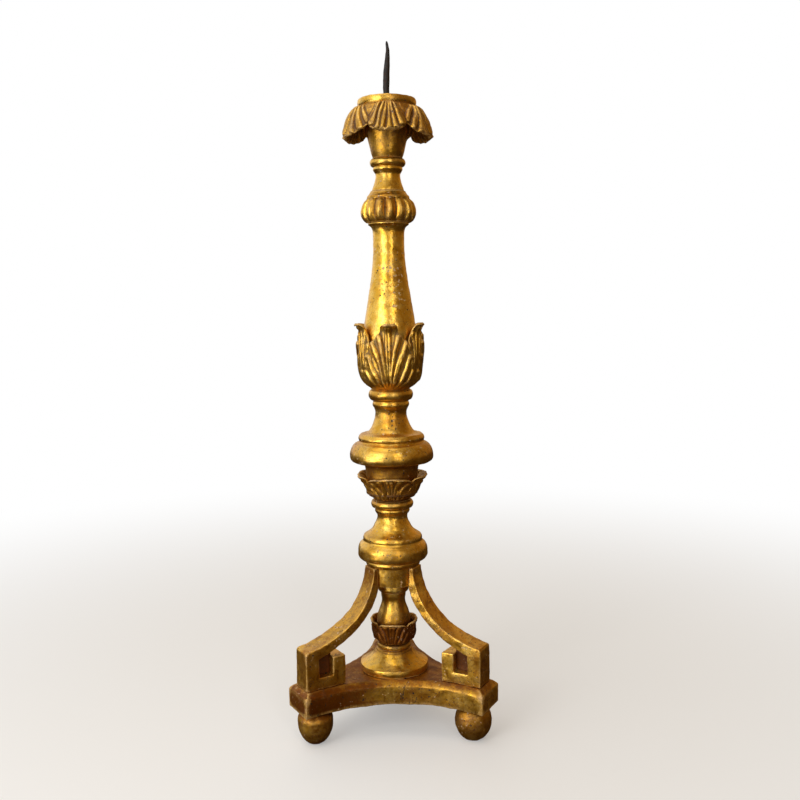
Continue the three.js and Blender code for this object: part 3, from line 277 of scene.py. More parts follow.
TURNINGS = {
    "base_bell": [
        [(0, 82.6), (50.0, 82.6)],
        [(50.0, 82.6), (50.8, 87.5), (50.2, 92.4)],
        [(50.2, 92.4), (48.6, 93.2), (43.6, 95.8), (38.2, 99.0),
         (33.4, 103.0), (29.8, 107.0), (27.6, 110.2)],
        [(25.8, 110.4), (26.8, 111.8), (25.6, 113.4)],
        [(22.6, 113.6), (24.9, 115.6), (25.6, 118.4), (24.7, 121.2), (21.6, 123.2)],
        [(21.6, 123.2), (0, 123.2)],
    ],
    "lower_stem": [
        [(0, 131.2), (24.6, 131.2)],
        [(24.6, 131.2), (25.3, 142), (25.2, 152), (24.2, 161), (22.2, 169),
         (19.6, 176.5), (17.7, 183.5), (17.3, 188), (18.2, 194), (18.6, 199.4)],
        [(18.6, 199.4), (0, 199.4)],
    ],
    "tripod_hub": [
        [(0, 199.7), (20.6, 199.7)],
        [(20.6, 199.7), (22.2, 201.6), (22.5, 206), (22.0, 210.6), (20.4, 212.4)],
        [(20.4, 212.4), (34.2, 212.6)],
        [(34.2, 212.6), (34.4, 226), (34.2, 240.3)],
        [(34.2, 240.3), (39.2, 240.5)],
        [(39.2, 240.5), (40.4, 244.7), (39.4, 248.9)],
        [(39.4, 248.9), (0, 248.9)],
    ],
    "lower_knop": [
        [(0, 249.2), (41.0, 249.2)],
        [(41.6, 249.2), (47.8, 250.4), (51.0, 254.4), (51.4, 260.5),
         (50.8, 266.5), (48.4, 272), (44.2, 275.8)],
        [(43.0, 276.4), (43.2, 277.6)],
        [(43.2, 277.6), (43.3, 281), (42.2, 284.4), (40.0, 286.2)],
        [(39.0, 286.6), (34.8, 289.6), (29.8, 294.2), (26.6, 299.8),
         (23.4, 306), (22.0, 312), (22.6, 315.8), (24.4, 318.0)],
        [(24.6, 318.2), (25.6, 321), (25.0, 324.4)],
        [(25.0, 324.6), (29.2, 326.4), (31.0, 329.4), (31.2, 332.4), (29.8, 335.6), (26.6, 337.8)],
        [(26.6, 337.8), (0, 337.8)],
    ],
    "upper_knop": [
        [(0, 345.2), (30.5, 345.2)],
        [(30.5, 345.2), (35.5, 360), (37.4, 372), (38.2, 381), (39.8, 388), (42.6, 391.6)],
        [(42.6, 391.6), (46.5, 392.0)],
        [(46.5, 392.0), (53.5, 393.2), (58.6, 395.8), (60.6, 399.6), (60.9, 404),
         (60.2, 409.6), (57.8, 415.6), (53.4, 420.4), (48.6, 422.8)],
        [(47.2, 423.2), (47.2, 424.8)],
        [(47.2, 424.8), (48.2, 428), (47.4, 431.6), (44.6, 434.6)],
        [(41.6, 435.0), (35.6, 436.6), (32.0, 439.6), (28.6, 445), (26.2, 451),
         (23.8, 457.5), (22.7, 463.5), (23.0, 468.5), (24.6, 472.8)],
        [(24.8, 473.0), (26.4, 475.8), (26.5, 479), (25.4, 482.2)],
        [(25.4, 482.6), (29.8, 485.0), (32.0, 489.0), (32.2, 493.4), (30.6, 497.4), (27.4, 499.6)],
        [(27.4, 499.6), (0, 499.6)],
    ],
    "tapered_shaft": [
        [(0, 510.4), (31, 510.4)],
        [(31, 510.4), (35, 545), (38, 575), (38.2, 584), (35.8, 600), (32.2, 622), (28.4, 645),
         (25.6, 664), (23.4, 684), (22.4, 702), (22.4, 716), (23.0, 726), (25.2, 731.4), (28.4, 733.6)],
        [(28.4, 733.6), (29.3, 735.2), (28.8, 736.6)],
        [(28.8, 736.6), (0, 736.6)],
    ],
    "upper_neck": [
        [(0, 781.2), (23.2, 781.2)],
        [(23.2, 781.2), (22.4, 784.6), (20.4, 790), (18.6, 796),
         (17.5, 801.6), (17.7, 805.4), (19.4, 808.2)],
        [(19.4, 808.4), (20.9, 811.4), (20.2, 814.6)],
        [(20.2, 814.8), (23.8, 816.6), (25.3, 820), (24.8, 823.8), (21.8, 826.6)],
        [(21.8, 826.6), (0, 826.6)],
    ],
    "cup_cone": [
        [(0, 827.0), (20.6, 827.0)],
        [(20.6, 827.0), (21.6, 829.4), (23.2, 834), (25.0, 842),
         (27.4, 852), (30.2, 866), (33.0, 880), (34.2, 884.2)],
        [(34.2, 884.2), (29.8, 884.6)],
        [(29.8, 884.6), (29.8, 896.6)],
        [(29.8, 896.6), (0, 896.6)],
    ],
    "cup_rim": [
        [(0, 896.4), (39.6, 896.4)],
        [(39.6, 896.4), (41.2, 899.6), (41.7, 903.6), (41.2, 906.8)],
        [(41.2, 906.8), (39.6, 908.2)],
        [(39.6, 908.2), (36.8, 908.0)],
        [(36.8, 908.0), (34.0, 905.8)],
        [(34.0, 905.8), (0, 905.4)],
    ],
}


def make_turning(name, seed):
    turning = bpy.context.scene.torchere_turning
    points = turned_profile(TURNINGS[name], turning.step / MM, turning.arris / MM)
    bm = spin_profile(points, turning.sides)
    add_piece(name + "_turned", bm, (name,), "burnished_gold", seed)


class TORCHERE_OT_turnings(bpy.types.Operator):
    """Turns the plain sections of the column, from the bell up to the rim"""
    bl_idname = "torchere.turnings"
    bl_label = "Turn the column"

    def execute(self, context):
        for seed, name in enumerate(TURNINGS):
            make_turning(name, seed * 11 + 3)
        return {"FINISHED"}


FOOT_REACH = 129  # from the column to the middle of a foot
LEFT_FOOT_OUTWARD = 3.0


class TORCHERE_OT_feet(bpy.types.Operator):
    """Turns the three ball feet; the front left one is worn to an egg"""
    bl_idname = "torchere.feet"
    bl_label = "Turn the ball feet"

    def execute(self, context):
        turning = context.scene.torchere_turning
        for seed, (place, angle) in enumerate(LEG_ANGLES.items()):
            egg = 1.0 if place == "front_left" else 0.0
            runs = [
                [(0, 0), (8.4, 0)],
                [(8.4, 0), (14.4 - egg, 2.2), (20.9 - 1.6 * egg, 9.0), (25.4 - 1.6 * egg, 18.5),
                 (26.5 - 1.2 * egg, 27.5 + 3 * egg), (25.0, 37.5), (20.6, 45.2), (17.6, 47.8)],
                [(17.6, 47.8), (0, 47.8)],
            ]
            bm = spin_profile(turned_profile(runs, turning.step / MM, turning.arris / MM), 72)
            reach = (FOOT_REACH + LEFT_FOOT_OUTWARD * egg) * MM
            offset = (reach * math.cos(math.radians(angle)),
                      AXIS_Y + reach * math.sin(math.radians(angle)))
            add_piece("ball_foot_%s_turned" % place, bm, ("ball_foot_" + place,),
                      "rubbed_gold", 71 + seed, offset, uneven=0.55 * MM,
                      grime_and_shade=[(z, min(1.0, dirt_and_shade + LEFT_FOOT_DARKENING * egg)) for z, dirt_and_shade in FOOT_GRIME_AND_SHADE])
        return {"FINISHED"}


# ------------------------------------------------------------------ plinth and legs

def soften_edges(bm, arris, sharper=30, segments=2):
    edges = [e for e in bm.edges if len(e.link_faces) == 2
             and e.calc_face_angle(0.0) > math.radians(sharper)]
    bmesh.ops.bevel(bm, geom=edges, offset=arris * MM, offset_type="OFFSET", affect="EDGES",
                    segments=segments, profile=0.5, material=-1, clamp_overlap=True)


def divide(bm, size):
    """Cuts a mesh by parallel planes in the three directions, so that no facet is long."""
    low = Vector([min(v.co[k] for v in bm.verts) for k in range(3)])
    high = Vector([max(v.co[k] for v in bm.verts) for k in range(3)])
    for axis in range(3):
        normal = Vector([1.0 if k == axis else 0.0 for k in range(3)])
        count = int((high[axis] - low[axis]) / (size * MM))
        for k in range(1, count):
            place = low + normal * (high[axis] - low[axis]) * k / count
            bmesh.ops.bisect_plane(bm, geom=bm.verts[:] + bm.edges[:] + bm.faces[:],
                                   plane_co=place, plane_no=normal, dist=0.000001)


# The plinth from above: how far its ears reach, half their width, and how far each side is from
# the column at its middle.
EAR_REACH, EAR_HALF, WAISTS = 156, 29, (73, 58, 73)
PLINTH_BEVEL = 7


def plinth_outline(inset):
    """Three square ears joined by hollow sides, the front one hollowed deepest (mm)."""
    reach, half = EAR_REACH - inset, EAR_HALF - inset
    step = math.radians(60)
    along = reach * math.cos(step) + half * math.sin(step)
    across = reach * math.sin(step) - half * math.cos(step)
    points = []
    for side, waist in enumerate(WAISTS):
        facing = math.radians(90 + 120 * side) + step
        sag = along - waist + inset
        radius = (across**2 + sag**2) / (2 * sag)
        spread = math.asin(across / radius)
        for k in range(25):
            angle = spread * (1 - 2 * k / 24)
            out = waist - inset + radius - radius * math.cos(angle)
            sideways = -radius * math.sin(angle)
            points.append((out * math.cos(facing) - sideways * math.sin(facing),
                           out * math.sin(facing) + sideways * math.cos(facing)))
    return points


PLINTH_UNDERSIDE, BEVEL_FOOT, PLINTH_TOP = 48.3, 75.3, 82.3
LEFT_EAR_SHIFT = (3.2, 1.2)  # the front left ear stands further out and forward


class TORCHERE_OT_plinth(bpy.types.Operator):
    """Saws the three-sided plinth, with its worn bevel"""
    bl_idname = "torchere.plinth"
    bl_label = "Make the plinth"

    def execute(self, context):
        bm = bmesh.new()
        face = bm.faces.new([bm.verts.new((x * MM, y * MM, PLINTH_UNDERSIDE * MM))
                             for x, y in plinth_outline(0)])
        for inset, height in ((0, BEVEL_FOOT), (PLINTH_BEVEL, PLINTH_TOP)):
            grown = bmesh.ops.extrude_face_region(bm, geom=[face])
            faces = [f for f in grown["geom"] if isinstance(f, bmesh.types.BMFace)]
            if face.is_valid and height == PLINTH_TOP:
                bmesh.ops.delete(bm, geom=[face], context="FACES_ONLY")
            face = faces[0]
            for loop, (x, y) in zip(face.loops, plinth_outline(inset)):
                loop.vert.co = (x * MM, y * MM, height * MM)
        bmesh.ops.recalc_face_normals(bm, faces=bm.faces[:])
        soften_edges(bm, 1.6, sharper=25, segments=3)
        bmesh.ops.triangulate(bm, faces=[f for f in bm.faces if len(f.verts) > 4])
        divide(bm, 7)
        left = math.radians(LEG_ANGLES["front_left"])
        for vert in bm.verts:
            ear = vert.co.x * math.cos(left) + vert.co.y * math.sin(left)
            share = min(max((ear / MM - 95) / 45, 0.0), 1.0)
            vert.co.x -= LEFT_EAR_SHIFT[0] * share * MM
            vert.co.y -= LEFT_EAR_SHIFT[1] * share * MM
        board = add_piece("plinth_board_sawn", bm, ("plinth_board",), "dull_gold", 91,
                          uneven=0.8 * MM, grime_and_shade=PLINTH_GRIME_AND_SHADE)
        # The left end of the plinth's front is made darker still.
        dirt_and_shade = board.data.attributes["grime_and_shade"].data
        for entry, (x, y, z) in zip(dirt_and_shade, read_points(board.data)):
            if y < -0.03 and z < 0.080:
                leftward = min(max(-x / 0.07, 0.0), 1.0)
                entry.value = min(1.0, entry.value + LEFT_FRONT_DARKENING * leftward)
        return {"FINISHED"}


def bezier(p0, p1, p2, p3, count):
    t = np.linspace(0, 1, count)[:, None]
    p0, p1, p2, p3 = (np.array(p, float) for p in (p0, p1, p2, p3))
    return (1 - t)**3 * p0 + 3 * t * (1 - t)**2 * p1 + 3 * t**2 * (1 - t) * p2 + t**3 * p3


LEG_THICKNESS = 34
ARM_FOOT, ARM_RISE = 136.6, 103.4  # the arm above the squared scroll
ARM_TAPER = 7  # how much thinner the arm is at its top
HUB_SURFACE = 34.6  # where the leg meets the drum of the hub
LEFT_LEG_OUTWARD = 4.6  # how much further out the front left leg stands
# The eye of the scroll is blind. A web closes it here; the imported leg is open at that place.
EYE_WEB = [(104.5, 97.5), (129.0, 97.5), (129.0, 126.4), (117.0, 129.6), (104.5, 133.6)]
WEB_THICKNESS = 10


def leg_outline():
    """Side view of a bracket leg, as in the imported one: (distance from the column, height)."""
    upper = bezier((142.7, 138.6), (80.7, 149.5), (44.9, 188.3), (39.5, 240.2), 26)[1:]
    under = bezier((33.5, 209.8), (44.2, 172.4), (82.4, 141.1), (127.7, 125.6), 26)
    corner = [(147.7, 82.6), (147.7, 133.6), (147.0, 136.4), (145.2, 138.0), (142.7, 138.6)]
    key = [(127.7, 98.6), (105.7, 98.6), (105.7, 125.1), (87.7, 125.1), (87.7, 82.6)]
    return [*corner, *map(tuple, upper), (33.5, 240.2), *map(tuple, under), *key]


def upright_board(outline, thickness):
    """A board with the given outline of (distance, height), astride the leg's middle (mm)."""
    bm = bmesh.new()
    face = bm.faces.new([bm.verts.new((r * MM, -thickness / 2 * MM, z * MM)) for r, z in outline])
    grown = bmesh.ops.extrude_face_region(bm, geom=[face])
    moved = [v for v in grown["geom"] if isinstance(v, bmesh.types.BMVert)]
    bmesh.ops.translate(bm, verts=moved, vec=(0, thickness * MM, 0))
    bmesh.ops.recalc_face_normals(bm, faces=bm.faces[:])
    return bm


class TORCHERE_OT_legs(bpy.types.Operator):
    """Saws and rounds the three scrolled bracket legs"""
    bl_idname = "torchere.legs"
    bl_label = "Make the bracket legs"

    def execute(self, context):
        for seed, (place, angle) in enumerate(LEG_ANGLES.items()):
            bm = upright_board(leg_outline(), LEG_THICKNESS)
            soften_edges(bm, 2.3, sharper=28, segments=3)
            bmesh.ops.triangulate(bm, faces=[f for f in bm.faces if len(f.verts) > 4])
            divide(bm, 5)
            web = upright_board(EYE_WEB, WEB_THICKNESS)
            bmesh.ops.triangulate(web, faces=web.faces[:])
            divide(web, 3)
            patch = bpy.data.meshes.new("web")
            web.to_mesh(patch)
            web.free()
            first = len(bm.verts)
            bm.from_mesh(patch)
            bpy.data.meshes.remove(patch)
            outward = LEFT_LEG_OUTWARD if place == "front_left" else 0.0
            for vert in bm.verts:
                rise = max(0.0, vert.co.z / MM - ARM_FOOT) / ARM_RISE
                share = min(max((vert.co.x / MM - 60) / 45, 0.0), 1.0)
                vert.co.x += outward * share * share * (3 - 2 * share) * MM
                vert.co.y *= 1 - rise * ARM_TAPER / LEG_THICKNESS
                distance = math.hypot(vert.co.x, vert.co.y)
                if 0 < distance < HUB_SURFACE * MM:
                    grow = HUB_SURFACE * MM / distance
                    vert.co.x *= grow
                    vert.co.y *= grow
            turn = Matrix.Rotation(math.radians(angle), 3, "Z")
            bmesh.ops.rotate(bm, verts=bm.verts[:], matrix=turn)
            leg = add_piece("bracket_leg_%s_carved" % place, bm, ("bracket_leg_" + place,),
                            "dull_gold", 101 + 7 * seed, uneven=0.75 * MM,
                            grime_and_shade=LEG_GRIME_AND_SHADE)
            hollow, dirt_and_shade = (leg.data.attributes[kind].data for kind in ("hollow", "grime_and_shade"))
            # The front left leg is made darker still.
            if place == "front_left":
                for entry, height in zip(dirt_and_shade, read_points(leg.data)[:, 2] / MM):
                    more = LEFT_KEY_DARKENING if height < 140 else LEFT_ARM_DARKENING
                    entry.value = min(1.0, entry.value + more)
            # The web at the back of the eye is made fully dark: soiling and painted shade in the recess.
            for k in range(first, len(hollow)):
                hollow[k].value, dirt_and_shade[k].value = 0.36, 1.0
        return {"FINISHED"}


# ------------------------------------------------------------------ carved rings

def grid_ring(columns, rows, shape):
    """A closed ring made from a flat grid: shape(angle, s) gives x, y, z as s goes once round
    the section."""
    bm = bmesh.new()
    bmesh.ops.create_grid(bm, x_segments=columns, y_segments=rows, size=1)
    mesh = bpy.data.meshes.new("ring")
    bm.to_mesh(mesh)
    flat = read_points(mesh)
    points = np.stack(shape(flat[:, 0] * math.pi, (flat[:, 1] + 1) / 2), axis=1)
    write_points(mesh, points)
    bm.clear()
    bm.from_mesh(mesh)
    bpy.data.meshes.remove(mesh)
    bmesh.ops.remove_doubles(bm, verts=bm.verts[:], dist=0.00001)
    bmesh.ops.recalc_face_normals(bm, faces=bm.faces[:])
    return bm


def ridges(x, y, fingers):
    """Height of raised fingers at points on a leaf. Each finger is a bent line from its root to
    its rounded end, (root, bend, end) in mm, with a root width, an end width and a height."""
    top = np.zeros_like(x)
    for root, bend, end, narrow, wide, height in fingers:
        t = np.linspace(0, 1, 16)[:, None]
        line = (1 - t)**2 * np.array(root) + 2 * t * (1 - t) * np.array(bend) + t**2 * np.array(end)
        best = np.full(x.shape, 1e9)
        along = np.zeros_like(x)
        for k in range(15):
            step = line[k + 1] - line[k]
            share = ((x - line[k, 0]) * step[0] + (y - line[k, 1]) * step[1]) / (step @ step)
            share = np.clip(share, 0, 1)
            gap = np.hypot(x - line[k, 0] - share * step[0], y - line[k, 1] - share * step[1])
            closer = gap < best
            best = np.where(closer, gap, best)
            along = np.where(closer, (k + share) / 15, along)
        width = narrow + (wide - narrow) * along**0.8
        round_top = np.sqrt(np.clip(1 - (best / width)**2, 0, 1))
        top = np.maximum(top, height * round_top * np.clip(along * 5 + 0.25, 0, 1))
    return top


class Leaf:
    """One leaf of a ring: its half width (degrees) against length, its fingers and its rise."""

    def __init__(self, edge, fingers, rise, camber, lip=0.0):
        self.at, self.half = np.array(edge, float).T
        self.fingers = fingers
        self.rise = rise
        self.camber = camber
        self.lip = lip

    def width(self, b):
        return np.interp(b, self.at, self.half)

    def length(self, angle):
        """How far up the ring the leaf reaches at an angle from its midrib."""
        b = np.linspace(1, 0, 400)
        half = self.width(b)
        reach = np.zeros_like(angle)
        for value, limit in zip(b[::-1], half[::-1]):
            reach = np.where(np.abs(angle) <= limit, value, reach)
        return reach

    def height(self, angle, b, mm_per_degree, span):
        """Relief in mm, and how far inside the leaf's edge the point is."""
        inside = self.width(b) - np.abs(angle)
        scale = float(np.median(mm_per_degree))
        fingers = [tuple((x * scale, y * span) for x, y in line) + (narrow, wide, tall)
                   for *line, narrow, wide, tall in self.fingers]
        face = ridges(np.abs(angle) * scale, b * span, fingers)
        face += self.camber * (1 - np.clip(np.abs(angle) / np.maximum(self.width(b), 1), 0, 1)**2)
        face += self.lip * np.exp(-((self.length(angle) - b) * span / 1.5)**2)
        shoulder = np.clip(inside * scale / 1.6, 0, 1)
        return (self.rise + face) * np.sqrt(shoulder), inside


# A leaf ring's section is shared out between the leaves' face, their back and the ring's floor.
FACE_SHARE, BACK_SHARE, FLOOR_SHARE = 0.68, 0.29, 0.03
BACK_END = 0.97
LEAVES = 6


def ring_of_leaves(name, node, finish, seed, path, turn, leaves, thick, core, floor, down=False):
    """A ring of six leaves, broad ones over narrow ones. `path` is the leaf's face from root to
    tip in (radius, height) mm; `core` is the radius kept free inside and `floor` its height."""
    carving = bpy.context.scene.torchere_carving
    line = smooth_run(path, 0.6)
    gone = np.concatenate([[0], np.cumsum(np.hypot(*np.diff(line, axis=0).T))])
    span = gone[-1]
    tangent = np.gradient(line, gone, axis=0)
    normal = np.stack([tangent[:, 1], -tangent[:, 0]], axis=1)
    if down:
        normal = -normal

    def shape(angle, s):
        wobble = 1.1 * np.sin(7 * angle + 4 * s + seed) + 0.9 * np.sin(17 * angle - 6 * s)
        degrees = np.degrees(angle) + wobble
        pitch = 360 / LEAVES
        offsets = []
        ends = []
        for k, leaf in enumerate(leaves):
            every = pitch * len(leaves)
            local = (degrees - k * pitch + every / 2) % every - every / 2
            offsets.append(local)
            ends.append(leaf.length(local))
        end = np.max(ends, axis=0)
        outer = s < FACE_SHARE
        inner = (s >= FACE_SHARE) & (s < BACK_END)
        behind = 1 - (s - FACE_SHARE) / BACK_SHARE * 0.86
        b = np.where(outer, s / FACE_SHARE, np.where(inner, behind, 0)) * end
        b = np.clip(b, 0, 1)
        at = b * span
        radius = np.interp(at, gone, line[:, 0])
        height = np.interp(at, gone, line[:, 1])
        nr = np.interp(at, gone, normal[:, 0])
        nz = np.interp(at, gone, normal[:, 1])
        relief = np.zeros_like(b)
        for leaf, local in zip(leaves, offsets):
            face, inside = leaf.height(local, b, np.radians(1) * radius, span)
            relief = np.where(inside > 0, np.maximum(relief, face), relief)
        relief *= carving.depth * np.clip(b * 6, 0.15, 1)
        thin = thick * (0.32 + 0.68 * np.clip((end - b) * span / 9, 0, 1)**0.7)
        push = np.where(outer, relief, relief * 0.35 - thin)
        r = radius + nr * push
        z = height + nz * push
        closing = s >= BACK_END
        across = (s - BACK_END) / FLOOR_SHARE
        if down:
            r = np.where(inner | closing, np.maximum(r, core), r)
            r = np.where(closing, core, r)
            z = np.where(closing, line[0, 1] - floor * (1 - across), z)
        else:
            r = np.where(inner, np.maximum(r, core), r)
            z = np.where(inner, np.maximum(z, floor), z)
            r = np.where(closing, core - 2 - (core - 12) * across, r)
            z = np.where(closing, floor + (line[0, 1] - floor) * across**3, z)
        spin = angle + math.radians(turn - 90)
        return r * np.cos(spin) * MM, r * np.sin(spin) * MM, z * MM

    bm = grid_ring(carving.columns, carving.rows, shape)
    add_piece(name, bm, (node,), finish, seed, uneven=0.5 * MM, passes=9)


class TORCHERE_OT_leaf_cups(bpy.types.Operator):
    """Carves the three upright leaf cups"""
    bl_idname = "torchere.leaf_cups"
    bl_label = "Carve the leaf cups"

    def execute(self, context):
        broad = Leaf(
            [(0, 54), (0.3, 57), (0.49, 49), (0.54, 47), (0.565, 41), (0.66, 38),
             (0.715, 35), (0.74, 27), (0.79, 23), (0.82, 19), (0.845, 16), (0.89, 15.5),
             (0.93, 14), (0.96, 11.5), (0.98, 8.5), (1, 1)],
            [((1.9, 0.03), (1.9, 0.5), (2.2, 0.92), 1.5, 1.9, 2.4),
             ((4.5, 0.05), (6.0, 0.45), (17.5, 0.775), 2.2, 4.0, 3.6),
             ((9.0, 0.04), (16, 0.42), (31, 0.675), 2.3, 4.3, 3.8),
             ((16, 0.03), (27, 0.22), (42, 0.50), 2.3, 4.2, 3.6),
             ((25, 0.02), (37, 0.10), (51, 0.29), 2.2, 3.6, 2.6)], 1.2, 1.2)
        narrow = Leaf(
            [(0, 24), (0.5, 24), (0.66, 20.5), (0.72, 18.5), (0.80, 15.5),
             (0.87, 12.5), (0.95, 10), (0.99, 6), (1, 1)],
            [((1.6, 0.3), (1.6, 0.6), (1.9, 0.93), 1.4, 1.6, 2.0),
             ((5, 0.32), (7, 0.6), (12, 0.82), 2.0, 3.0, 2.6),
             ((10, 0.30), (13, 0.5), (18, 0.66), 2.0, 3.0, 2.2)], 0.2, 0.8)
        ring_of_leaves(
            "main_leaf_cup_carved", "main_leaf_cup", "carved_gold", 201,
            [(27.4, 500.0), (31.6, 504.5), (35.6, 510.5), (38.2, 516), (40.0, 522),
             (41.8, 533), (42.8, 541), (43.9, 556), (44.2, 568), (44.0, 578),
             (45.9, 585.6), (49.8, 590.8), (54.0, 593.2), (56.2, 591.8)],
            -3, (broad, narrow), 4.0, 38.6, 512.0)
        small_broad = Leaf(
            [(0, 50), (0.45, 52), (0.62, 50), (0.74, 45), (0.80, 40),
             (0.86, 34), (0.93, 24), (0.98, 10), (1, 1)],
            [((2.0, 0.05), (2.4, 0.5), (3.2, 0.86), 1.5, 2.2, 2.4),
             ((7, 0.06), (12, 0.5), (19, 0.80), 2.0, 3.6, 2.8),
             ((14, 0.05), (24, 0.40), (36, 0.66), 2.2, 3.8, 2.8),
             ((26, 0.04), (38, 0.22), (48, 0.44), 2.0, 3.0, 2.0)], 1.0, 1.0, 1.6)
        small_narrow = Leaf(
            [(0, 28), (0.5, 25), (0.62, 21), (0.75, 17), (0.88, 13), (0.95, 8), (1, 1)],
            [((1.8, 0.3), (1.8, 0.6), (2.2, 0.88), 1.5, 1.8, 1.8),
             ((7, 0.3), (10, 0.6), (16, 0.76), 1.9, 3.0, 2.2)], 0.2, 0.6, 1.2)
        ring_of_leaves(
            "small_leaf_cup_carved", "small_leaf_cup", "dull_gold", 211,
            [(25.0, 338.2), (28.4, 341.5), (31.4, 346), (34.0, 351), (36.6, 357),
             (39.2, 362.5), (43.4, 367.6), (48.6, 372.2), (53.2, 374.6), (54.4, 373.2)],
            -5, (small_broad, small_narrow), 3.2, 37.8, 347.0)
        ring_of_leaves(
            "lower_leaf_cup_carved", "lower_leaf_cup", "dull_gold", 221,
            [(22.5, 123.6), (25.6, 126.6), (27.6, 131), (28.6, 137), (29.0, 144),
             (29.8, 150), (32.2, 154.6), (35.8, 157.0), (37.0, 156.2)],
            -5, (small_broad, small_narrow), 2.6, 25.6, 131.6)
        return {"FINISHED"}


class TORCHERE_OT_crown(bpy.types.Operator):
    """Carves the drooping crown of leaves under the rim"""
    bl_idname = "torchere.crown"
    bl_label = "Carve the leaf crown"

    def execute(self, context):
        front = Leaf(
            [(0, 18), (0.2, 21), (0.5, 25), (0.72, 25.5), (0.84, 22.5), (0.92, 17), (0.97, 10), (1, 1)],
            [((1.6, 0.06), (2.9, 0.5), (4.4, 0.92), 1.6, 3.6, 3.4),
             ((5.0, 0.10), (8.4, 0.5), (12.2, 0.89), 1.9, 4.0, 4.2),
             ((10.0, 0.14), (16.2, 0.45), (20.8, 0.76), 1.9, 3.6, 3.6)], 2.8, 1.6, 1.5)
        side = Leaf(
            [(0, 37), (0.5, 37), (0.68, 36), (0.74, 33), (0.78, 29),
             (0.85, 26), (0.88, 20), (0.94, 16), (0.98, 8), (1, 1)],
            [((1.5, 0.08), (1.8, 0.5), (2.6, 0.93), 1.3, 1.9, 1.8),
             ((3.8, 0.10), (7.0, 0.5), (11.5, 0.89), 1.6, 4.0, 3.8),
             ((9.0, 0.14), (16.5, 0.5), (23.0, 0.79), 1.8, 4.2, 3.8),
             ((16.0, 0.14), (27.0, 0.42), (33.0, 0.64), 1.8, 4.0, 3.2)], 0.4, 1.2, 0.8)
        ring_of_leaves(
            "leaf_crown_carved", "leaf_crown", "carved_gold", 231,
            [(38.0, 896.0), (41.0, 896.2), (44.4, 893.4), (48.2, 888.2), (52.4, 881.2),
             (55.8, 873.4), (58.0, 866), (60.0, 859.5), (62.6, 854.4), (65.0, 852.4)],
            -1, (front, side), 4.2, 30.6, 12.5, down=True)
        return {"FINISHED"}


LOBES = 14
LOBE_DEPTH = 7.4


class TORCHERE_OT_gadroons(bpy.types.Operator):
    """Carves the knop of upright lobes below the neck"""
    bl_idname = "torchere.gadroons"
    bl_label = "Carve the gadrooned knop"

    def execute(self, context):
        turning = context.scene.torchere_turning
        runs = [
            [(0, 737.0), (31.5, 737.0)],
            [(31.5, 737.0), (35.6, 740.0), (38.8, 745.6), (39.9, 752),
             (38.8, 759), (35.8, 765.5), (31.6, 769.6)],
            [(29.4, 770.2), (30.2, 772), (29.6, 774.0)],
            [(29.2, 774.2), (26.9, 776.8), (24.4, 781.0)],
            [(24.4, 781.0), (0, 781.0)],
        ]
        bm = spin_profile(turned_profile(runs, 1.0, turning.arris / MM), LOBES * 20)
        for vert in bm.verts:
            height = vert.co.z / MM
            radius = math.hypot(vert.co.x, vert.co.y) / MM
            if radius < 12 or height > 770.0:
                continue
            around = math.atan2(vert.co.y, vert.co.x) * LOBES / 2
            lobe = abs(math.sin(around + 2.555)) ** 0.66
            belly = math.sin(math.pi * min(max((height - 735.5) / 36.5, 0), 1)) ** 0.5
            pull = 1 - LOBE_DEPTH * belly * (1 - lobe) / radius
            vert.co.x *= pull
            vert.co.y *= pull
        add_piece("gadrooned_knop_carved", bm, ("gadrooned_knop",),
                  "carved_gold", 241, uneven=0.5 * MM, passes=16)
        return {"FINISHED"}


class TORCHERE_OT_pricket(bpy.types.Operator):
    """Forges the iron pricket, with its slight bend and hammered sides"""
    bl_idname = "torchere.pricket"
    bl_label = "Forge the pricket"

    def execute(self, context):
        runs = [
            [(0, 905.9), (4.0, 905.9)],
            [(4.0, 905.9), (4.3, 916), (4.6, 930), (4.4, 944), (4.0, 957),
             (3.2, 969), (2.4, 979), (1.9, 985), (0.9, 988)],
            [(0.9, 988), (0, 988)],
        ]
        bm = spin_profile(turned_profile(runs, 2.0, 0.4), 20)
        for vert in bm.verts:
            share = max(0.0, (vert.co.z / MM - 906) / 82)
            bend = np.interp(share, (0, 0.22, 0.5, 0.72, 0.85, 1.0), (0, -0.7, 0.1, 1.7, 2.0, 0.7))
            vert.co.x += float(bend) * MM
        add_piece("pricket_forged", bm, ("pricket_spike",), "black_iron", 251,
                  uneven=0.3 * MM)
        return {"FINISHED"}


# ------------------------------------------------------------------ finishes

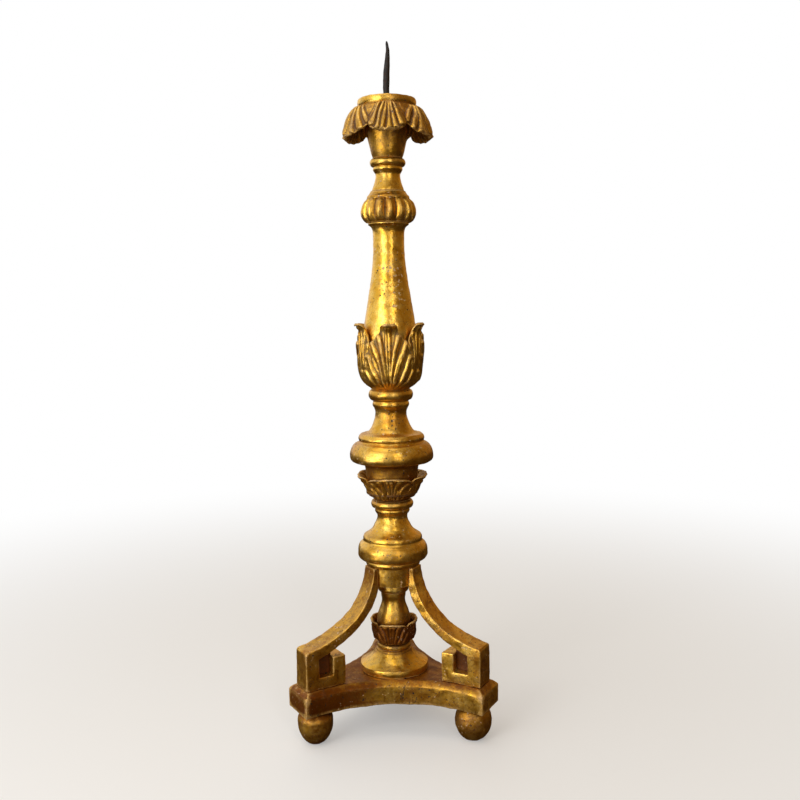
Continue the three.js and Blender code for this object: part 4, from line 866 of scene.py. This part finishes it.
class Nodes:
    """Small helper for building a node tree."""

    def __init__(self, tree):
        self.nodes = tree.nodes
        self.links = tree.links

    def add(self, kind, inputs=None, **settings):
        node = self.nodes.new(kind)
        for key, value in settings.items():
            setattr(node, key, value)
        for key, value in (inputs or {}).items():
            self.feed(node.inputs[key], value)
        return node

    def feed(self, socket, value):
        if isinstance(value, bpy.types.NodeSocket):
            self.links.new(value, socket)
        else:
            socket.default_value = value

    def math(self, operation, a, b=0.0, clamp=False):
        node = self.add("ShaderNodeMath", {0: a, 1: b}, operation=operation, use_clamp=clamp)
        return node.outputs[0]

    def times(self, a, b, clamp=False):
        return self.math("MULTIPLY", a, b, clamp)

    def plus(self, a, b, clamp=False):
        return self.math("ADD", a, b, clamp)

    def minus(self, a, b, clamp=False):
        return self.math("SUBTRACT", a, b, clamp)

    def most(self, a, b):
        return self.math("MAXIMUM", a, b)

    def between(self, value, low, high):
        """0 below `low`, 1 above `high`, smooth between."""
        node = self.add("ShaderNodeMapRange", {"Value": value, "From Min": low, "From Max": high},
                        interpolation_type="SMOOTHSTEP")
        return node.outputs["Result"]

    def fading(self, value, low, high):
        """1 below `low`, 0 above `high`, smooth between."""
        return self.minus(1.0, self.between(value, low, high))

    def mix(self, share, a, b):
        node = self.add("ShaderNodeMix", {0: share}, data_type="RGBA")
        self.feed(node.inputs[6], a)
        self.feed(node.inputs[7], b)
        return node.outputs[2]

    def noise(self, where, scale, detail=4.0, rough=0.55, distort=0.0):
        node = self.add("ShaderNodeTexNoise", {
            "Vector": where, "Scale": scale, "Detail": detail, "Roughness": rough,
            "Distortion": distort})
        return node.outputs["Fac"]


class Finish(Nodes):
    """The node tree of a new material."""

    def __init__(self, name):
        self.material = bpy.data.materials.new(name)
        self.material.use_nodes = True
        super().__init__(self.material.node_tree)
        self.shader = self.nodes["Principled BSDF"]


TARNISH = (0.55, 0.21, 0.012, 1)
# The dark brown of the soiling and painted shade by height:
SMUT_AND_SHADE = (0.155, 0.035, 0.0014, 1)
MOTTLE = (0.24, 0.062, 0.003, 1)
# The pale gold of the painted highlight on the proud ridges:
GLINT = (0.92, 0.60, 0.17, 1)
HOLE = (0.014, 0.006, 0.002, 1)


def battered_zone(g, spot):
    """1 on the front of the shaft, where the gilding is chipped most."""
    heights = g.times(g.between(spot["Z"], 0.600, 0.645), g.fading(spot["Z"], 0.675, 0.712))
    return g.times(heights, g.fading(spot["Y"], AXIS_Y - 0.020, AXIS_Y - 0.010))


def plinth_crack(g, where, spot):
    """1 on the slanting crack in the front of the plinth."""
    slant = g.minus(g.times(spot["Z"], 0.42), 0.0165)
    wander = g.times(g.minus(g.noise(where, 150, 4), 0.5), 0.014)
    gap = g.math("ABSOLUTE", g.minus(spot["X"], g.plus(slant, wander)))
    face = g.times(g.between(spot["Z"], 0.052, 0.056), g.fading(spot["Z"], 0.079, 0.082))
    return g.times(g.fading(gap, 0.0002, 0.0009), g.times(face, g.math("LESS_THAN", spot["Y"], -0.06)))


def gilding(name, rub, dull, grime_and_shade):
    """Gold leaf over reddish clay and chalk. `rub` wears it, `dull` roughens it and `grime_and_shade`
    darkens the hollows with soiling and painted shade; each is about 0 to 1."""
    tones = bpy.context.scene.torchere_gilding
    g = Finish(name)
    where = g.add("ShaderNodeTexCoord").outputs["Object"]
    hollow = g.add("ShaderNodeAttribute", attribute_name="hollow").outputs["Fac"]
    shade_and_soiling_by_height = g.add("ShaderNodeAttribute", attribute_name="grime_and_shade").outputs["Fac"]
    spot = g.add("ShaderNodeSeparateXYZ", {"Vector": where}).outputs
    broad = g.noise(where, 14, 3)
    patch = g.noise(where, 70, 6, 0.6, 0.4)
    fine = g.noise(where, 420, 5, 0.62)
    speck = g.noise(where, 1050, 2, 0.5)

    gold, pale = (*tones.gold, 1), (*tones.pale_gold, 1)
    blend = g.plus(g.times(patch, 0.6), g.times(fine, 0.4))
    leaf = g.mix(g.between(blend, 0.38, 0.66), gold, pale)
    leaf = g.mix(g.times(g.between(broad, 0.42, 0.70), 0.5), leaf, TARNISH)

    proud = g.times(g.math("MINIMUM", hollow, 0.0), -1.0)
    worn = g.plus(blend, g.times(g.math("MINIMUM", proud, 1.0), 0.30))
    rubbed = g.between(worn, 0.68 - 0.12 * rub, 0.80 - 0.12 * rub)
    ridge_highlight = g.between(g.plus(proud, g.times(fine, 0.5)), 0.42, 0.95)

    # Soiling and painted shade in the hollows: the more concave a place, the darker.
    depth = g.plus(g.times(hollow, 1.9), g.times(g.minus(fine, 0.5), 0.9))
    soiled_and_shaded = g.times(g.between(depth, 0.08, 1.0), 0.6 + 0.4 * grime_and_shade, clamp=True)
    veil = g.between(g.plus(broad, g.times(fine, 0.35)), 0.58 - 0.30 * grime_and_shade, 1.0 - 0.30 * grime_and_shade)
    veil = g.times(veil, 0.10 + 0.62 * grime_and_shade, clamp=True)

    battered = battered_zone(g, spot)
    shake = g.add("ShaderNodeTexNoise", {"Vector": where, "Scale": 330.0}).outputs["Color"]
    shake = g.add("ShaderNodeVectorMath", {0: shake, "Scale": 0.006}, operation="SCALE").outputs[0]
    ragged = g.add("ShaderNodeVectorMath", {0: where, 1: shake}, operation="ADD").outputs[0]
    cells = g.add("ShaderNodeTexVoronoi", {"Vector": ragged, "Scale": 210.0, "Randomness": 1.0})
    picked = g.add("ShaderNodeSeparateColor", {"Color": cells.outputs["Color"]}).outputs[0]
    crowd = g.plus(picked, g.times(g.minus(broad, 0.5), 1.1))
    crowd = g.plus(crowd, g.times(battered, 0.16))
    size = g.times(g.between(crowd, 0.6, 1.1), 0.24)
    pit = g.fading(g.minus(cells.outputs["Distance"], size), 0.0, 0.06)
    pit = g.times(pit, g.between(crowd, 0.62, 0.68))
    flecks = g.between(g.plus(g.times(speck, 0.62), g.times(patch, 0.38)), 0.570, 0.645)
    flaking = g.plus(g.times(g.noise(where, 230, 3, 0.5), 0.75), g.times(g.noise(where, 23, 1), 0.25))
    chips = g.between(g.plus(g.times(battered, 0.055), flaking), 0.645, 0.668)

    colour = g.mix(g.times(rubbed, 0.5 + 0.3 * rub), leaf, (*tones.clay, 1))
    # Soiling and painted shade by height, from the table stored on each piece, joined to the random veil
    # of soiling; the veil then carries both, also into the roughness.
    smut_and_shade = g.plus(shade_and_soiling_by_height, g.times(g.minus(blend, 0.5), 1.5))
    smut_and_shade = g.times(g.between(smut_and_shade, 0.12, 0.95), 0.94)
    veil = g.most(veil, smut_and_shade)
    colour = g.mix(veil, colour, SMUT_AND_SHADE)
    mottle = g.between(g.noise(where, 105, 5, 0.62, 0.8), 0.50, 0.62)
    colour = g.mix(g.times(mottle, 0.24 + 0.60 * dull), colour, MOTTLE)
    # Painted highlight: pale gold on the proud ridges, broken by fine speckle.
    colour = g.mix(g.times(ridge_highlight, 0.5), colour, GLINT)
    edge = g.between(g.plus(proud, g.times(g.minus(patch, 0.5), 3.4)), 0.80, 1.15)
    colour = g.mix(g.times(edge, 0.55 * dull), colour, (*tones.chalk, 1))
    colour = g.mix(g.times(chips, 0.7), colour, (*tones.chalk, 1))
    # Soiling and painted shade in the hollows.
    colour = g.mix(soiled_and_shaded, colour, (*tones.dirt_and_shade, 1))
    marks = g.most(pit, g.times(flecks, 0.75))
    if name == "dull_gold":
        marks = g.most(marks, plinth_crack(g, where, spot))
    colour = g.mix(marks, colour, HOLE)
    g.feed(g.shader.inputs["Base Color"], colour)

    dead = g.most(g.most(soiled_and_shaded, chips), g.most(marks, g.times(rubbed, 0.6)))
    g.feed(g.shader.inputs["Metallic"], g.minus(1.0, g.times(dead, 0.85), clamp=True))
    rough = g.plus(0.17 + 0.20 * dull, g.times(patch, 0.22))
    rough = g.plus(rough, g.times(g.most(dead, veil), 0.26), clamp=True)
    g.feed(g.shader.inputs["Roughness"], rough)
    relief = g.plus(g.noise(where, 52, 3), g.times(fine, 0.22))
    relief = g.plus(relief, g.times(g.noise(where, 170, 3), 0.30))
    relief = g.minus(relief, g.times(g.most(pit, chips), 0.4))
    bump = g.add("ShaderNodeBump", {"Strength": 0.6, "Distance": 1.1 * MM, "Height": relief})
    g.feed(g.shader.inputs["Normal"], bump.outputs["Normal"])
    g.shader.inputs["Coat Weight"].default_value = 0.10
    g.shader.inputs["Coat Roughness"].default_value = 0.34


class TORCHERE_OT_finishes(bpy.types.Operator):
    """Mixes the gilding, iron and bare wood finishes"""
    bl_idname = "torchere.finishes"
    bl_label = "Mix the finishes"

    def execute(self, context):
        gilding("burnished_gold", 0.25, 0.12, 0.30)
        gilding("carved_gold", 0.40, 0.20, 0.40)
        gilding("dull_gold", 0.60, 0.45, 0.42)
        gilding("rubbed_gold", 0.7, 0.45, 0.80)
        iron = Finish("black_iron")
        where = iron.add("ShaderNodeTexCoord").outputs["Object"]
        rust = iron.between(iron.noise(where, 260, 6), 0.45, 0.7)
        iron.feed(iron.shader.inputs["Base Color"],
                  iron.mix(rust, (0.014, 0.012, 0.011, 1), (0.045, 0.021, 0.013, 1)))
        iron.feed(iron.shader.inputs["Roughness"], iron.plus(0.50, iron.times(rust, 0.3)))
        iron.shader.inputs["Metallic"].default_value = 0.0
        iron.shader.inputs["Specular IOR Level"].default_value = 0.30
        hammered = iron.noise(where, 320, 5)
        bump = iron.add("ShaderNodeBump", {"Strength": 0.6, "Distance": 0.8 * MM, "Height": hammered})
        iron.feed(iron.shader.inputs["Normal"], bump.outputs["Normal"])
        wood = Finish("dowel_wood")
        where = wood.add("ShaderNodeTexCoord").outputs["Object"]
        grain = wood.add("ShaderNodeTexWave", {
            "Vector": where, "Scale": 120.0, "Distortion": 6.0, "Detail": 3.0})
        wood.feed(wood.shader.inputs["Base Color"],
                  wood.mix(grain.outputs["Fac"], (0.34, 0.22, 0.11, 1), (0.47, 0.33, 0.18, 1)))
        wood.shader.inputs["Roughness"].default_value = 0.8
        for place in LEG_ANGLES:
            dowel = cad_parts["leg_dowel_" + place]
            dowel.data.materials.clear()
            dowel.data.materials.append(wood.material)
        return {"FINISHED"}


# ------------------------------------------------------------------ stage

FOCAL_PIXELS, PICTURE_PIXELS = 917.0, 800
SENSOR = 36  # mm
VIEW_TURN = math.radians(-1.0)  # round the column's axis
CAMERA_PLACE = (13.3 * MM, -1327.5 * MM, 616.4 * MM)  # from the foot of the column's axis
CAMERA_TILT = 0.1002  # radians down
CAMERA_ROLL = -0.01252


def aim(thing, target):
    thing.rotation_euler = (Vector(target) - thing.location).to_track_quat("-Z", "Y").to_euler()


def softbox(name, place, target, width, height, power, colour=(1, 1, 1)):
    data = bpy.data.lights.new(name, "AREA")
    data.shape = "RECTANGLE"
    data.size, data.size_y = width, height
    data.energy = power
    data.color = colour
    light = bpy.data.objects.new(name, data)
    light.location = place
    light.visible_camera = False
    bpy.context.collection.objects.link(light)
    aim(light, target)


class TORCHERE_OT_stage(bpy.types.Operator):
    """Lays the plain floor and sets the soft lights, the surroundings and the camera"""
    bl_idname = "torchere.stage"
    bl_label = "Set the stage"

    def execute(self, context):
        stage = context.scene.torchere_stage
        bm = bmesh.new()
        bmesh.ops.create_circle(bm, cap_ends=True, radius=30, segments=64)
        mesh = bpy.data.meshes.new("floor")
        bm.to_mesh(mesh)
        bm.free()
        floor = bpy.data.objects.new("floor", mesh)
        context.collection.objects.link(floor)
        plain = Finish("plain_floor")
        plain.shader.inputs["Base Color"].default_value = (*stage.floor_colour, 1)
        plain.shader.inputs["Roughness"].default_value = 0.6
        lit = plain.add("ShaderNodeEmission", {"Color": (1, 1, 1, 1), "Strength": 1.0})
        dim = plain.add("ShaderNodeBsdfDiffuse", {"Color": (0.07, 0.045, 0.02, 1)})
        away = plain.add("ShaderNodeVectorMath", {0: plain.add("ShaderNodeTexCoord").outputs["Object"]},
                         operation="LENGTH").outputs["Value"]
        fade = plain.plus(0.30, plain.times(plain.between(away, 0.3, 1.9), 0.70))
        seen = plain.add("ShaderNodeMixShader", {0: fade, 1: plain.shader.outputs[0], 2: lit.outputs[0]})
        ray = plain.add("ShaderNodeLightPath").outputs["Is Camera Ray"]
        either = plain.add("ShaderNodeMixShader", {0: ray, 1: dim.outputs[0], 2: seen.outputs[0]})
        plain.links.new(either.outputs[0], plain.nodes["Material Output"].inputs["Surface"])
        mesh.materials.append(plain.material)

        middle = (0, AXIS_Y, 0.5)
        softbox("key", (-1.25, -1.60, 0.95), middle, 0.8, 1.7, stage.key_power)
        softbox("fill", (0.50, -1.95, 1.05), middle, 0.36, 1.9, stage.fill_power, (1, 0.98, 0.95))
        softbox("low", (-1.5, -0.95, 0.25), (0, AXIS_Y, 0.12), 0.7, 0.4, 5, (1, 0.98, 0.95))
        softbox("top", (-0.3, -0.3, 2.4), middle, 1.4, 1.4, 9, (1, 0.99, 0.97))

        world = bpy.data.worlds.new("surroundings")
        context.scene.world = world
        world.use_nodes = True
        sky = Nodes(world.node_tree)
        sky.nodes.clear()

        def ramp(value, start, end, low=0.0, high=1.0):
            return sky.add("ShaderNodeMapRange", {"Value": value, "From Min": start, "From Max": end,
                                                  "To Min": low, "To Max": high}).outputs["Result"]

        towards = sky.add("ShaderNodeTexCoord").outputs["Generated"]
        towards = sky.add("ShaderNodeSeparateXYZ", {0: towards}).outputs
        strength = sky.plus(ramp(towards["X"], 0.25, -0.65, 0.25, 0.92),
                            ramp(towards["Y"], 0.20, 0.95, 0.0, 0.35))
        tint = sky.mix(ramp(towards["X"], -0.35, 0.45), (1, 0.98, 0.95, 1), (1, 0.62, 0.20, 1))
        room = sky.add("ShaderNodeBackground", {"Color": tint, "Strength": strength})
        white = sky.add("ShaderNodeBackground", {"Color": (1, 1, 1, 1), "Strength": 1.0})
        ray = sky.add("ShaderNodeLightPath").outputs["Is Camera Ray"]
        choose = sky.add("ShaderNodeMixShader", {0: ray, 1: room.outputs[0], 2: white.outputs[0]})
        sky.add("ShaderNodeOutputWorld", {0: choose.outputs[0]})

        context.scene.view_settings.view_transform = "Standard"

        data = bpy.data.cameras.new("camera")
        data.lens = FOCAL_PIXELS / PICTURE_PIXELS * SENSOR
        data.sensor_width = SENSOR
        data.clip_start = 0.05
        camera = bpy.data.objects.new("camera", data)
        pose = Matrix.Translation((0, AXIS_Y, 0)) @ Matrix.Rotation(VIEW_TURN, 4, "Z")
        pose = pose @ Matrix.Translation(CAMERA_PLACE)
        pose = pose @ Matrix.Rotation(math.pi / 2 - CAMERA_TILT, 4, "X")
        pose = pose @ Matrix.Rotation(CAMERA_ROLL, 4, "Z")
        camera.matrix_world = pose
        context.collection.objects.link(camera)
        context.scene.camera = camera
        return {"FINISHED"}


# ------------------------------------------------------------------ panel and run

OPERATORS = (
    TORCHERE_OT_finishes, TORCHERE_OT_stage, TORCHERE_OT_feet, TORCHERE_OT_plinth, TORCHERE_OT_legs,
    TORCHERE_OT_turnings, TORCHERE_OT_leaf_cups, TORCHERE_OT_crown, TORCHERE_OT_gadroons,
    TORCHERE_OT_pricket,
)


class TORCHERE_PT_panel(bpy.types.Panel):
    """Lists the sizes, the colours and the steps"""
    bl_label = "Torchere"
    bl_idname = "TORCHERE_PT_panel"
    bl_space_type = "VIEW_3D"
    bl_region_type = "UI"
    bl_category = "Torchere"

    def draw(self, context):
        layout = self.layout
        for group in ("torchere_turning", "torchere_carving", "torchere_gilding", "torchere_stage"):
            box = layout.box()
            settings = getattr(context.scene, group)
            for name in settings.bl_rna.properties.keys():
                if name not in {"rna_type", "name"}:
                    box.prop(settings, name)
        for operator in OPERATORS:
            layout.operator(operator.bl_idname)


CLASSES = (TurningSettings, CarvingSettings, GildingSettings, StageSettings, *OPERATORS,
           TORCHERE_PT_panel)


def register():
    for cls in CLASSES:
        bpy.utils.register_class(cls)
    bpy.types.Scene.torchere_turning = bpy.props.PointerProperty(type=TurningSettings)
    bpy.types.Scene.torchere_carving = bpy.props.PointerProperty(type=CarvingSettings)
    bpy.types.Scene.torchere_gilding = bpy.props.PointerProperty(type=GildingSettings)
    bpy.types.Scene.torchere_stage = bpy.props.PointerProperty(type=StageSettings)


def unregister():
    for group in ("torchere_turning", "torchere_carving", "torchere_gilding", "torchere_stage"):
        delattr(bpy.types.Scene, group)
    for cls in reversed(CLASSES):
        bpy.utils.unregister_class(cls)


def main():
    register()
    bpy.ops.torchere.finishes()
    bpy.ops.torchere.stage()
    bpy.ops.torchere.feet()
    bpy.ops.torchere.plinth()
    bpy.ops.torchere.legs()
    bpy.ops.torchere.turnings()
    bpy.ops.torchere.leaf_cups()
    bpy.ops.torchere.crown()
    bpy.ops.torchere.gadroons()
    bpy.ops.torchere.pricket()
    bpy.context.view_layer.update()


if __name__ == "__main__":
    main()
